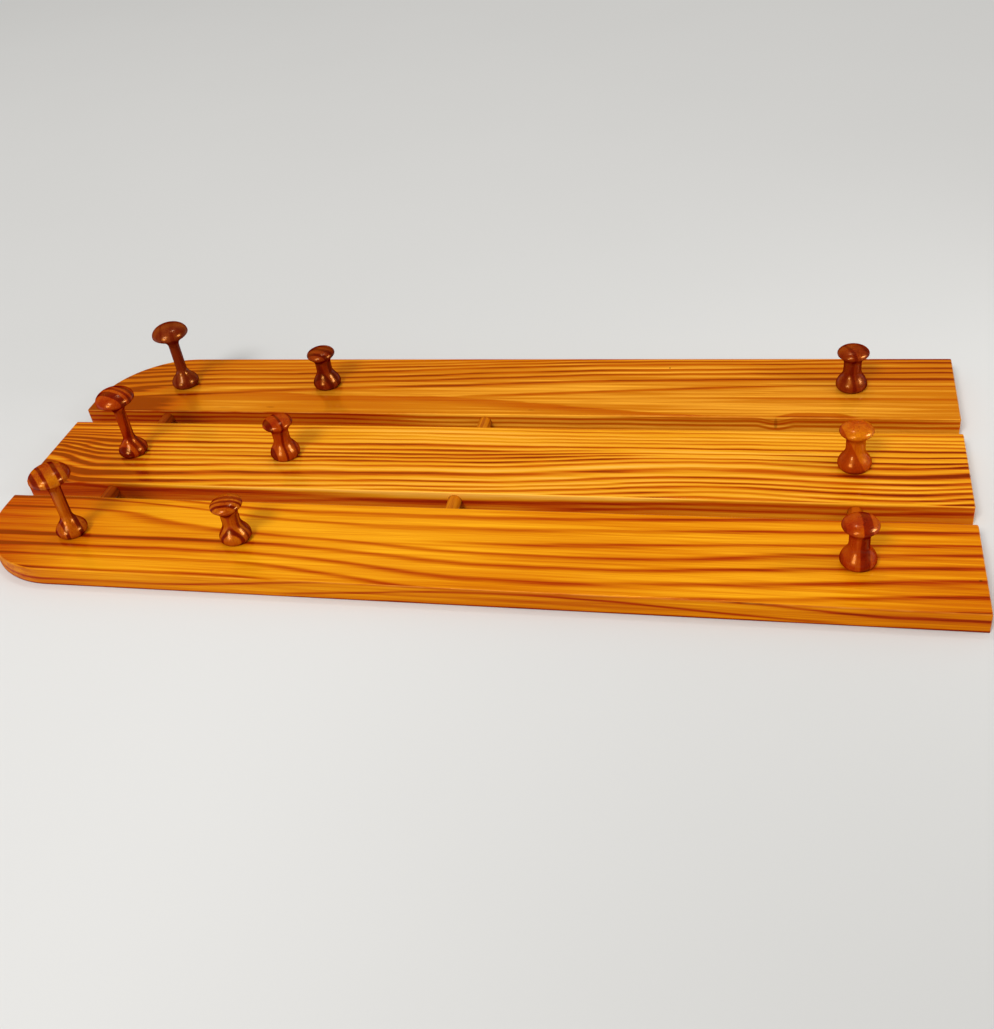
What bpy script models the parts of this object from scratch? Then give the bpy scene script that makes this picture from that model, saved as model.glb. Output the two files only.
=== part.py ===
"""A wall coat rack: three pine boards on dowels, nine turned pegs and two keyhole hangers.

The rack lies on its back. X runs along the boards from the rounded top end to the square bottom end, Y runs
across them from the left board to the right one as seen by someone who faces the wall, and Z points out of
the wall. The origin is on the back face, in the middle of the rack. Lengths are in metres.
"""

import math

import bmesh
import bpy
from mathutils import Vector
from mathutils.geometry import interpolate_bezier

MM = 0.001

# Boards
BOARD_LENGTH = 1000 * MM
BOARD_WIDTH = 120 * MM
BOARD_THICKNESS = 21 * MM
BOARD_GAP = 25 * MM
TOP_CORNER_RADIUS = 100 * MM
ARRIS_RADIUS = 2 * MM

# Peg rows along the boards
HAT_ROW_FROM_TOP = 107 * MM
UPPER_ROW_FROM_HAT_ROW = 187 * MM
LOWER_ROW_FROM_BOTTOM = 106 * MM

# Turned pegs: what the hat pegs and the coat pegs share
PEG_FOOT_DIAMETER = 28 * MM
PEG_BASE_DIAMETER = 32.6 * MM
PEG_BASE_HEIGHT = 4.5 * MM
TENON_DIAMETER = 12 * MM
TENON_CHAMFER = 1 * MM
TENON_HOLE_FLOOR = 6 * MM
HEAD_UNDERCUT_FULLNESS = 0.60
HEAD_RIM_FULLNESS = 0.25

# Hat pegs, the long ones: heights are above the foot
HAT_PEG_NECK_DIAMETER = 12.6 * MM
HAT_PEG_NECK_HEIGHT = 54 * MM
HAT_PEG_FLARE_HEIGHT = 24 * MM
HAT_PEG_HEAD_DIAMETER = 42.8 * MM
HAT_PEG_RIM_HEIGHT = 70.5 * MM
HAT_PEG_CROWN = 12 * MM
HAT_PEG_SHOULDER_FULLNESS = 0.36
HAT_PEG_TAPER_FULLNESS = 0.50

# Coat pegs, the short ones
COAT_PEG_NECK_DIAMETER = 18.4 * MM
COAT_PEG_NECK_HEIGHT = 30 * MM
COAT_PEG_FLARE_HEIGHT = 23 * MM
COAT_PEG_HEAD_DIAMETER = 32.8 * MM
COAT_PEG_RIM_HEIGHT = 42 * MM
COAT_PEG_CROWN = 7 * MM
COAT_PEG_SHOULDER_FULLNESS = 0.40
COAT_PEG_TAPER_FULLNESS = 0.46

# Dowels across the gaps
DOWEL_DIAMETER = 14 * MM
DOWEL_INSERTION = 30 * MM
DOWEL_CHAMFER = 1.5 * MM

# Keyhole hanger plates, let into the backs of the outer boards
HANGER_FROM_TOP = 52 * MM
PLATE_LENGTH = 56 * MM
PLATE_WIDTH = 22 * MM
PLATE_THICKNESS = 2 * MM
KEYHOLE_ENTRY_DIAMETER = 11 * MM
KEYHOLE_SLOT_WIDTH = 5.5 * MM
KEYHOLE_DROP = 11 * MM
POCKET_WIDTH = 14 * MM
POCKET_DEPTH = 8 * MM

# Countersunk screws of the hanger plates
SCREW_HEAD_DIAMETER = 7 * MM
SCREW_SHANK_DIAMETER = 3.5 * MM
SCREW_LENGTH = 13 * MM
SCREW_POINT_LENGTH = 3 * MM
SCREW_FROM_PLATE_END = 7 * MM
SCREW_SLOT_WIDTH = 0.9 * MM
SCREW_SLOT_DEPTH = 0.8 * MM

# Fits
SEAT_GAP = 0.3 * MM
HOLE_CLEARANCE = 0.3 * MM
CUT_OVERRUN = 2 * MM

# Facets
TURNED_SIDES = 20
SCREW_SIDES = 12
CORNER_SEGMENTS = 10
ARRIS_SEGMENTS = 3
PLATE_END_SEGMENTS = 10
CROWN_SEGMENTS = 4
UNDERCUT_SEGMENTS = 5
NECK_SEGMENTS = 5
FOOT_SEGMENTS = 2
SMOOTH_ANGLE = math.radians(35)
BEVEL_ANGLE = math.radians(60)
MERGE_DISTANCE = 0.001 * MM
QUARTER_ELLIPSE_FULLNESS = 0.5523

# Places that follow from the sizes above
BOARD_PITCH = BOARD_WIDTH + BOARD_GAP
TOP_END = -BOARD_LENGTH / 2
BOTTOM_END = BOARD_LENGTH / 2
HAT_ROW = TOP_END + HAT_ROW_FROM_TOP
UPPER_ROW = HAT_ROW + UPPER_ROW_FROM_HAT_ROW
LOWER_ROW = BOTTOM_END - LOWER_ROW_FROM_BOTTOM
CENTRE_DOWELS = (HAT_ROW + LOWER_ROW) / 2
HANGER_X = TOP_END + HANGER_FROM_TOP
PLATE_RECESS_DEPTH = PLATE_THICKNESS + SEAT_GAP
KEYHOLE_ENTRY_X = HANGER_X + KEYHOLE_DROP / 2
KEYHOLE_REST_X = HANGER_X - KEYHOLE_DROP / 2
SCREW_OFFSET = PLATE_LENGTH / 2 - SCREW_FROM_PLATE_END

BOARD_SIDES = {"left": -1, "middle": 0, "right": 1}
OUTER_SIDES = {"left": -1, "right": 1}
PEG_ROWS = {"hat_peg": HAT_ROW, "coat_peg_upper": UPPER_ROW, "coat_peg_lower": LOWER_ROW}
DOWEL_ROWS = {"upper": HAT_ROW, "centre": CENTRE_DOWELS, "lower": LOWER_ROW}


def clear_scene():
    """Removes every object that the file opened with."""
    for obj in list(bpy.data.objects):
        bpy.data.objects.remove(obj, do_unlink=True)


def make_material(name, colour, roughness, metallic=0.0):
    """A plain Principled material."""
    material = bpy.data.materials.new(name)
    material.use_nodes = True
    shader = material.node_tree.nodes["Principled BSDF"]
    shader.inputs["Base Color"].default_value = (*colour, 1.0)
    shader.inputs["Roughness"].default_value = roughness
    shader.inputs["Metallic"].default_value = metallic
    return material


def add_object(name, mesh, parent, material=None, location=(0.0, 0.0, 0.0), rotation=(0.0, 0.0, 0.0)):
    """Links a mesh into the scene as a piece of the rack."""
    obj = bpy.data.objects.new(name, mesh)
    bpy.context.scene.collection.objects.link(obj)
    obj.parent = parent
    obj.location = location
    obj.rotation_euler = rotation
    if material and not mesh.materials:
        mesh.materials.append(material)
    return obj


def finish_mesh(name, bm):
    """Turns a bmesh into a closed, smooth-shaded mesh with its faces pointing out."""
    bmesh.ops.remove_doubles(bm, verts=bm.verts, dist=MERGE_DISTANCE)
    bmesh.ops.recalc_face_normals(bm, faces=bm.faces)
    mesh = bpy.data.meshes.new(name)
    bm.to_mesh(mesh)
    bm.free()
    mesh.shade_smooth()
    mesh.set_sharp_from_angle(angle=SMOOTH_ANGLE)
    return mesh


def turned_mesh(name, profile, sides=TURNED_SIDES):
    """Spins a profile of (radius, height) points, from the top of the axis to its bottom, about Z."""
    bm = bmesh.new()
    verts = [bm.verts.new((radius, 0.0, height)) for radius, height in profile]
    edges = [bm.edges.new(pair) for pair in zip(verts, verts[1:])]
    bmesh.ops.spin(
        bm,
        geom=verts + edges,
        cent=(0.0, 0.0, 0.0),
        axis=(0.0, 0.0, 1.0),
        angle=2 * math.pi,
        steps=sides,
        use_merge=True,
    )
    return finish_mesh(name, bm)


def prism_mesh(name, outline, low, high):
    """Extrudes a flat outline of (x, y) points from one height up to another."""
    bm = bmesh.new()
    face = bm.faces.new([bm.verts.new((x, y, low)) for x, y in outline])
    top = bmesh.ops.extrude_face_region(bm, geom=[face])["geom"]
    raised = [item for item in top if isinstance(item, bmesh.types.BMVert)]
    bmesh.ops.translate(bm, verts=raised, vec=(0.0, 0.0, high - low))
    return finish_mesh(name, bm)


def arc(centre_x, centre_y, radius, start_degrees, end_degrees, segments):
    """Points along a circular arc, with both of its ends."""
    sweep = math.radians(end_degrees - start_degrees)
    start = math.radians(start_degrees)
    angles = [start + sweep * step / segments for step in range(segments + 1)]
    return [(centre_x + radius * math.cos(a), centre_y + radius * math.sin(a)) for a in angles]


def stadium(start_x, end_x, width):
    """Outline of a straight slot along X whose round ends are centred on start_x and end_x."""
    lower_end = arc(end_x, 0.0, width / 2, -90, 90, PLATE_END_SEGMENTS)
    upper_end = arc(start_x, 0.0, width / 2, 90, 270, PLATE_END_SEGMENTS)
    return lower_end + upper_end


def cylinder_profile(radius, bottom, top, chamfer=0.0):
    """Profile of a cylinder about Z, with the same chamfer at both ends."""
    if not chamfer:
        return [(0.0, top), (radius, top), (radius, bottom), (0.0, bottom)]
    return [
        (0.0, top),
        (radius - chamfer, top),
        (radius, top - chamfer),
        (radius, bottom + chamfer),
        (radius - chamfer, bottom),
        (0.0, bottom),
    ]


def bezier(start, start_handle, end_handle, end, segments):
    """Points along a Bezier curve between (radius, height) points, without its first point."""
    knots = [Vector((radius, height, 0.0)) for radius, height in (start, start_handle, end_handle, end)]
    return [(point.x, point.y) for point in interpolate_bezier(*knots, segments + 1)[1:]]


def upright_curve(start, end, start_fullness, end_fullness, segments):
    """An S-shaped stretch of profile that leaves both of its ends parallel to the axis."""
    rise = end[1] - start[1]
    start_handle = (start[0], start[1] + rise * start_fullness)
    end_handle = (end[0], end[1] - rise * end_fullness)
    return bezier(start, start_handle, end_handle, end, segments)


def peg_profile(neck_diameter, neck_height, flare_height, head_diameter, rim_height, crown, shoulder, taper):
    """Profile of a turned peg from its crown, by its head, neck and base, down to the end of its tenon.

    The neck is straight from its own height down to the flare height, where it starts to widen to the base.
    """
    crown_top = (0.0, rim_height + crown)
    rim = (head_diameter / 2, rim_height)
    neck = (neck_diameter / 2, neck_height)
    flare = (neck_diameter / 2, flare_height)
    straight_neck = [flare] if flare_height < neck_height else []
    base = (PEG_BASE_DIAMETER / 2, PEG_BASE_HEIGHT)
    foot = (PEG_FOOT_DIAMETER / 2, 0.0)
    tenon_radius = TENON_DIAMETER / 2
    tenon_end = TENON_HOLE_FLOOR - BOARD_THICKNESS

    crown_handle = (rim[0] * QUARTER_ELLIPSE_FULLNESS, crown_top[1])
    rim_handle = (rim[0], rim_height + crown * QUARTER_ELLIPSE_FULLNESS)
    base_handle = (base[0], PEG_BASE_HEIGHT * (1 - QUARTER_ELLIPSE_FULLNESS))
    return [
        crown_top,
        *bezier(crown_top, crown_handle, rim_handle, rim, CROWN_SEGMENTS),
        *upright_curve(rim, neck, HEAD_RIM_FULLNESS, HEAD_UNDERCUT_FULLNESS, UNDERCUT_SEGMENTS),
        *straight_neck,
        *upright_curve(flare, base, taper, shoulder, NECK_SEGMENTS),
        *bezier(base, base_handle, foot, foot, FOOT_SEGMENTS),
        (tenon_radius, 0.0),
        (tenon_radius, tenon_end + TENON_CHAMFER),
        (tenon_radius - TENON_CHAMFER, tenon_end),
        (0.0, tenon_end),
    ]


def screw_profile(clearance=0.0):
    """Profile of a countersunk screw, head down at height 0, widened by a clearance for its hole."""
    head = SCREW_HEAD_DIAMETER / 2 + clearance
    shank = SCREW_SHANK_DIAMETER / 2 + clearance
    cone = head - shank
    return [
        (0.0, SCREW_LENGTH + clearance),
        (shank, SCREW_LENGTH - SCREW_POINT_LENGTH + clearance),
        (shank, cone),
        (head, 0.0),
        (0.0, 0.0),
    ]


def make_cutter(name, mesh, parent, location=(0.0, 0.0, 0.0), rotation=(0.0, 0.0, 0.0)):
    """A hidden solid that a Boolean takes away from a piece."""
    cutter = add_object(name, mesh, parent, location=location, rotation=rotation)
    cutter.hide_render = True
    cutter.display_type = "WIRE"
    return cutter


def cut(piece, cutters):
    """Takes each cutter away from a piece."""
    for cutter in cutters:
        modifier = piece.modifiers.new(cutter.name, "BOOLEAN")
        modifier.operation = "DIFFERENCE"
        modifier.solver = "EXACT"
        modifier.object = cutter


def board_outline(side):
    """Outline of a board, with the top corner on its outer side rounded."""
    half_width = BOARD_WIDTH / 2
    radius = min(TOP_CORNER_RADIUS, BOARD_WIDTH - 2 * ARRIS_RADIUS)
    outline = [(BOTTOM_END, -half_width), (BOTTOM_END, half_width)]
    if side > 0:
        outline += arc(TOP_END + radius, half_width - radius, radius, 90, 180, CORNER_SEGMENTS)
    else:
        outline.append((TOP_END, half_width))
    if side < 0:
        outline += arc(TOP_END + radius, radius - half_width, radius, 180, 270, CORNER_SEGMENTS)
    else:
        outline.append((TOP_END, -half_width))
    return outline


def peg_hole_cutters(board_name, y, rack):
    """Blind holes for the tenons of one board's pegs."""
    profile = cylinder_profile(
        TENON_DIAMETER / 2 + HOLE_CLEARANCE,
        TENON_HOLE_FLOOR,
        BOARD_THICKNESS + CUT_OVERRUN,
    )
    mesh = turned_mesh("peg_hole_cutter", profile)
    return [
        make_cutter(f"{board_name}_{row}_hole", mesh, rack, (x, y, 0.0))
        for row, x in PEG_ROWS.items()
    ]


def dowel_hole_cutters(board_name, board_y, gap_side, rack):
    """Blind holes for the dowels in the edge of a board that faces a gap."""
    edge = board_y + gap_side * BOARD_WIDTH / 2
    profile = cylinder_profile(
        DOWEL_DIAMETER / 2 + HOLE_CLEARANCE,
        -CUT_OVERRUN,
        DOWEL_INSERTION + SEAT_GAP,
    )
    mesh = turned_mesh("dowel_hole_cutter", profile)
    into_board = (gap_side * math.pi / 2, 0.0, 0.0)
    return [
        make_cutter(f"{board_name}_{row}_dowel_hole", mesh, rack, (x, edge, BOARD_THICKNESS / 2), into_board)
        for row, x in DOWEL_ROWS.items()
    ]


def hanger_cutters(board_name, y, rack):
    """Recess for a hanger plate, the pocket behind its keyhole, and the holes for its screws."""
    end_offset = (PLATE_LENGTH - PLATE_WIDTH) / 2
    recess = stadium(HANGER_X - end_offset, HANGER_X + end_offset, PLATE_WIDTH + 2 * HOLE_CLEARANCE)
    pocket = stadium(KEYHOLE_REST_X, KEYHOLE_ENTRY_X, POCKET_WIDTH)
    pocket_floor = PLATE_RECESS_DEPTH + POCKET_DEPTH
    recess_mesh = prism_mesh("plate_recess_cutter", recess, -CUT_OVERRUN, PLATE_RECESS_DEPTH)
    pocket_mesh = prism_mesh("keyhole_pocket_cutter", pocket, -CUT_OVERRUN, pocket_floor)
    screw_mesh = turned_mesh("screw_hole_cutter", screw_profile(HOLE_CLEARANCE), SCREW_SIDES)
    cutters = [
        make_cutter(f"{board_name}_plate_recess", recess_mesh, rack, (0.0, y, 0.0)),
        make_cutter(f"{board_name}_keyhole_pocket", pocket_mesh, rack, (0.0, y, 0.0)),
    ]
    for end, direction in (("upper", -1), ("lower", 1)):
        place = (HANGER_X + direction * SCREW_OFFSET, y, 0.0)
        cutters.append(make_cutter(f"{board_name}_screw_hole_{end}", screw_mesh, rack, place))
    return cutters


def make_boards(rack, material):
    """Three boards side by side, each with its own holes."""
    for side_name, side in BOARD_SIDES.items():
        name = f"board_{side_name}"
        y = side * BOARD_PITCH
        mesh = prism_mesh(name, board_outline(side), 0.0, BOARD_THICKNESS)
        board = add_object(name, mesh, rack, material, (0.0, y, 0.0))
        bevel = board.modifiers.new("arris", "BEVEL")
        bevel.width = ARRIS_RADIUS
        bevel.segments = ARRIS_SEGMENTS
        bevel.limit_method = "ANGLE"
        bevel.angle_limit = BEVEL_ANGLE
        cutters = peg_hole_cutters(name, y, rack)
        for gap_side in (-1, 1):
            if side + gap_side in BOARD_SIDES.values():
                cutters += dowel_hole_cutters(name, y, gap_side, rack)
        if side_name in OUTER_SIDES:
            cutters += hanger_cutters(name, y, rack)
        cut(board, cutters)


def make_pegs(rack, material):
    """A row of hat pegs and two rows of coat pegs, one of each on every board."""
    hat_profile = peg_profile(
        HAT_PEG_NECK_DIAMETER,
        HAT_PEG_NECK_HEIGHT,
        HAT_PEG_FLARE_HEIGHT,
        HAT_PEG_HEAD_DIAMETER,
        HAT_PEG_RIM_HEIGHT,
        HAT_PEG_CROWN,
        HAT_PEG_SHOULDER_FULLNESS,
        HAT_PEG_TAPER_FULLNESS,
    )
    coat_profile = peg_profile(
        COAT_PEG_NECK_DIAMETER,
        COAT_PEG_NECK_HEIGHT,
        COAT_PEG_FLARE_HEIGHT,
        COAT_PEG_HEAD_DIAMETER,
        COAT_PEG_RIM_HEIGHT,
        COAT_PEG_CROWN,
        COAT_PEG_SHOULDER_FULLNESS,
        COAT_PEG_TAPER_FULLNESS,
    )
    hat_mesh = turned_mesh("hat_peg", hat_profile)
    coat_mesh = turned_mesh("coat_peg", coat_profile)
    for row, x in PEG_ROWS.items():
        mesh = hat_mesh if row == "hat_peg" else coat_mesh
        for side_name, side in BOARD_SIDES.items():
            place = (x, side * BOARD_PITCH, BOARD_THICKNESS + SEAT_GAP)
            add_object(f"{row}_{side_name}", mesh, rack, material, place)


def make_dowels(rack, material):
    """Dowels across both gaps, let into the edges of the boards."""
    half_length = BOARD_GAP / 2 + DOWEL_INSERTION
    profile = cylinder_profile(DOWEL_DIAMETER / 2, -half_length, half_length, DOWEL_CHAMFER)
    mesh = turned_mesh("dowel", profile)
    across = (math.pi / 2, 0.0, 0.0)
    for row, x in DOWEL_ROWS.items():
        for side_name, side in OUTER_SIDES.items():
            place = (x, side * BOARD_PITCH / 2, BOARD_THICKNESS / 2)
            add_object(f"dowel_{row}_{side_name}", mesh, rack, material, place, across)


def make_hangers(rack, plate_material, screw_material):
    """Keyhole plates flush with the backs of the outer boards, each with two countersunk screws."""
    end_offset = (PLATE_LENGTH - PLATE_WIDTH) / 2
    plate_outline = stadium(-end_offset, end_offset, PLATE_WIDTH)
    plate_mesh = prism_mesh("hanger_plate", plate_outline, 0.0, PLATE_THICKNESS)
    slot_outline = stadium(-KEYHOLE_DROP / 2, KEYHOLE_DROP / 2, KEYHOLE_SLOT_WIDTH)
    slot_mesh = prism_mesh("keyhole_slot_cutter", slot_outline, -CUT_OVERRUN, PLATE_THICKNESS + CUT_OVERRUN)
    entry_profile = cylinder_profile(KEYHOLE_ENTRY_DIAMETER / 2, -CUT_OVERRUN, PLATE_THICKNESS + CUT_OVERRUN)
    entry_mesh = turned_mesh("keyhole_entry_cutter", entry_profile)
    screw_hole_mesh = turned_mesh("plate_hole_cutter", screw_profile(HOLE_CLEARANCE), SCREW_SIDES)
    screw_mesh = turned_mesh("hanger_screw", screw_profile(), SCREW_SIDES)
    driver_outline = stadium(-SCREW_HEAD_DIAMETER, SCREW_HEAD_DIAMETER, SCREW_SLOT_WIDTH)
    driver_mesh = prism_mesh("screw_slot_cutter", driver_outline, -CUT_OVERRUN, SCREW_SLOT_DEPTH)

    for side_name, side in OUTER_SIDES.items():
        name = f"hanger_plate_{side_name}"
        y = side * BOARD_PITCH
        plate = add_object(name, plate_mesh, rack, plate_material, (HANGER_X, y, 0.0))
        cutters = [
            make_cutter(f"{name}_slot", slot_mesh, rack, (HANGER_X, y, 0.0)),
            make_cutter(f"{name}_entry", entry_mesh, rack, (KEYHOLE_ENTRY_X, y, 0.0)),
        ]
        for end, direction in (("upper", -1), ("lower", 1)):
            place = (HANGER_X + direction * SCREW_OFFSET, y, 0.0)
            cutters.append(make_cutter(f"{name}_hole_{end}", screw_hole_mesh, rack, place))
            screw = add_object(f"hanger_screw_{end}_{side_name}", screw_mesh, rack, screw_material, place)
            cut(screw, [make_cutter(f"{screw.name}_slot", driver_mesh, rack, place)])
        cut(plate, cutters)


def build_rack():
    """Models the whole rack under one empty."""
    clear_scene()
    rack = bpy.data.objects.new("coat_rack", None)
    bpy.context.scene.collection.objects.link(rack)
    make_boards(rack, make_material("lacquered_pine", (0.72, 0.33, 0.045), 0.3))
    make_pegs(rack, make_material("stained_peg", (0.36, 0.085, 0.012), 0.25))
    make_dowels(rack, make_material("dowel_wood", (0.47, 0.21, 0.09), 0.45))
    make_hangers(
        rack,
        make_material("zinc_plate", (0.62, 0.62, 0.60), 0.35, 1.0),
        make_material("zinc_screw", (0.66, 0.65, 0.62), 0.3, 1.0),
    )


build_rack()
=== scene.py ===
"""Looks of the wall coat rack: lacquered pine boards, turned pegs, dowels and keyhole hangers.

The rack lies on its back on a pale floor. X runs along the boards from the rounded top end to the square
bottom end, Y runs across them from the left board to the right one, and Z points up along the pegs. Meshes
are in metres; the grain of the wood is drawn in millimetres.
"""

from __future__ import annotations

import logging
import math
from dataclasses import dataclass, field
from enum import Enum
from functools import reduce
from itertools import product
from typing import Any, Sequence

import bmesh
import bpy
from mathutils import Matrix, Vector
from mathutils.geometry import interpolate_bezier


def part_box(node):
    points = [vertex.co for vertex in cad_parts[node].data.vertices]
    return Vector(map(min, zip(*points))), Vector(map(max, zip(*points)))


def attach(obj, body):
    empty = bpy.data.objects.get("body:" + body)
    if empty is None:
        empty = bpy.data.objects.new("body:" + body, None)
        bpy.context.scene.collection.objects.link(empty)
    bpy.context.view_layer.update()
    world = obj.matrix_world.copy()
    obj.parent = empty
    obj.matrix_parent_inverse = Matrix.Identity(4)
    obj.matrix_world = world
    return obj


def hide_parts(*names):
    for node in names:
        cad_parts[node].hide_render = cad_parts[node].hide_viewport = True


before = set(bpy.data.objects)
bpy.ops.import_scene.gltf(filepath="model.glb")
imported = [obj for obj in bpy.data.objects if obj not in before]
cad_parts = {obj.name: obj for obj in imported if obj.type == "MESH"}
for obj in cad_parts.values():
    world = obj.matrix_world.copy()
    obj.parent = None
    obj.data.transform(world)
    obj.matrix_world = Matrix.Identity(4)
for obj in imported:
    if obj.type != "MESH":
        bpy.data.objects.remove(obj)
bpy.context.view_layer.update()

log = logging.getLogger("coat_rack")

MM = 0.001
BODY = "root"
MERGE_DISTANCE = 0.001 * MM
SMOOTH_ANGLE = math.radians(35)
ARRIS_ANGLE = math.radians(60)
QUARTER_ELLIPSE_FULLNESS = 0.5523

Colour = tuple[float, float, float]
Point = tuple[float, float]
Place = tuple[float, float, float]
Bend = tuple[float, float, float]
Settings = dict[str, Any]
Sockets = dict[int | str, Any]


class Side(Enum):
    """The boards, by the side they are on for someone who faces the hung rack."""

    LEFT = -1
    MIDDLE = 0
    RIGHT = 1

    @property
    def label(self) -> str:
        """The side's word in the names of pieces."""
        return self.name.lower()


OUTER_SIDES = (Side.LEFT, Side.RIGHT)


class PegRow(Enum):
    """The rows of pegs, by the start of their nodes' names."""

    HAT = "hat_peg"
    UPPER = "coat_peg_upper"
    LOWER = "coat_peg_lower"


class DowelRow(Enum):
    """The rows of dowels across the gaps."""

    UPPER = "upper"
    CENTRE = "centre"
    LOWER = "lower"


class ScrewEnd(Enum):
    """The two screws of a hanger plate."""

    UPPER = "upper"
    LOWER = "lower"


class Slot(Enum):
    """The record's material slots."""

    BOARD = "pine_board"
    PEG = "turned_peg"
    DOWEL = "dowel_wood"
    PLATE = "zinc_plate"
    SCREW = "zinc_screw"


class Signal:
    """A shader socket that takes part in Python expressions."""

    def __init__(self, sheet: NodeSheet, socket: bpy.types.NodeSocket) -> None:
        """Wraps one output socket of a node sheet."""
        self.sheet = sheet
        self.socket = socket

    def math(self, operation: str, *values: Value) -> Signal:
        """The result of a Math node with that operation on the values, in order."""
        return self.sheet.signal("ShaderNodeMath", {"operation": operation}, dict(enumerate(values)))

    def __add__(self, other: Value) -> Signal:
        """This plus the other."""
        return self.math("ADD", self, other)

    def __radd__(self, other: Value) -> Signal:
        """The other plus this."""
        return self.math("ADD", other, self)

    def __sub__(self, other: Value) -> Signal:
        """This minus the other."""
        return self.math("SUBTRACT", self, other)

    def __rsub__(self, other: Value) -> Signal:
        """The other minus this."""
        return self.math("SUBTRACT", other, self)

    def __mul__(self, other: Value) -> Signal:
        """This times the other."""
        return self.math("MULTIPLY", self, other)

    def __rmul__(self, other: Value) -> Signal:
        """The other times this."""
        return self.math("MULTIPLY", other, self)

    def __truediv__(self, other: Value) -> Signal:
        """This over the other."""
        return self.math("DIVIDE", self, other)

    def __rtruediv__(self, other: Value) -> Signal:
        """The other over this."""
        return self.math("DIVIDE", other, self)

    def __abs__(self) -> Signal:
        """This without its sign."""
        return self.math("ABSOLUTE", self)

    def over(self, other: Value) -> Signal:
        """The larger of this and the other."""
        return self.math("MAXIMUM", self, other)

    def under(self, other: Value) -> Signal:
        """The smaller of this and the other."""
        return self.math("MINIMUM", self, other)

    def held(self) -> Signal:
        """This, held between 0 and 1."""
        return self.under(1.0).over(0.0)

    def smooth(self, low: float, high: float) -> Signal:
        """A soft step from 0 at low to 1 at high, which may be the lower of the two."""
        settings = {"interpolation_type": "SMOOTHSTEP"}
        return self.sheet.signal("ShaderNodeMapRange", settings, {0: self, 1: low, 2: high})

    def ramp(self, low: float, high: float) -> Signal:
        """A straight step from 0 at low to 1 at high, which may be the lower of the two."""
        return self.sheet.signal("ShaderNodeMapRange", {"clamp": True}, {0: self, 1: low, 2: high})


Value = Signal | float


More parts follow.
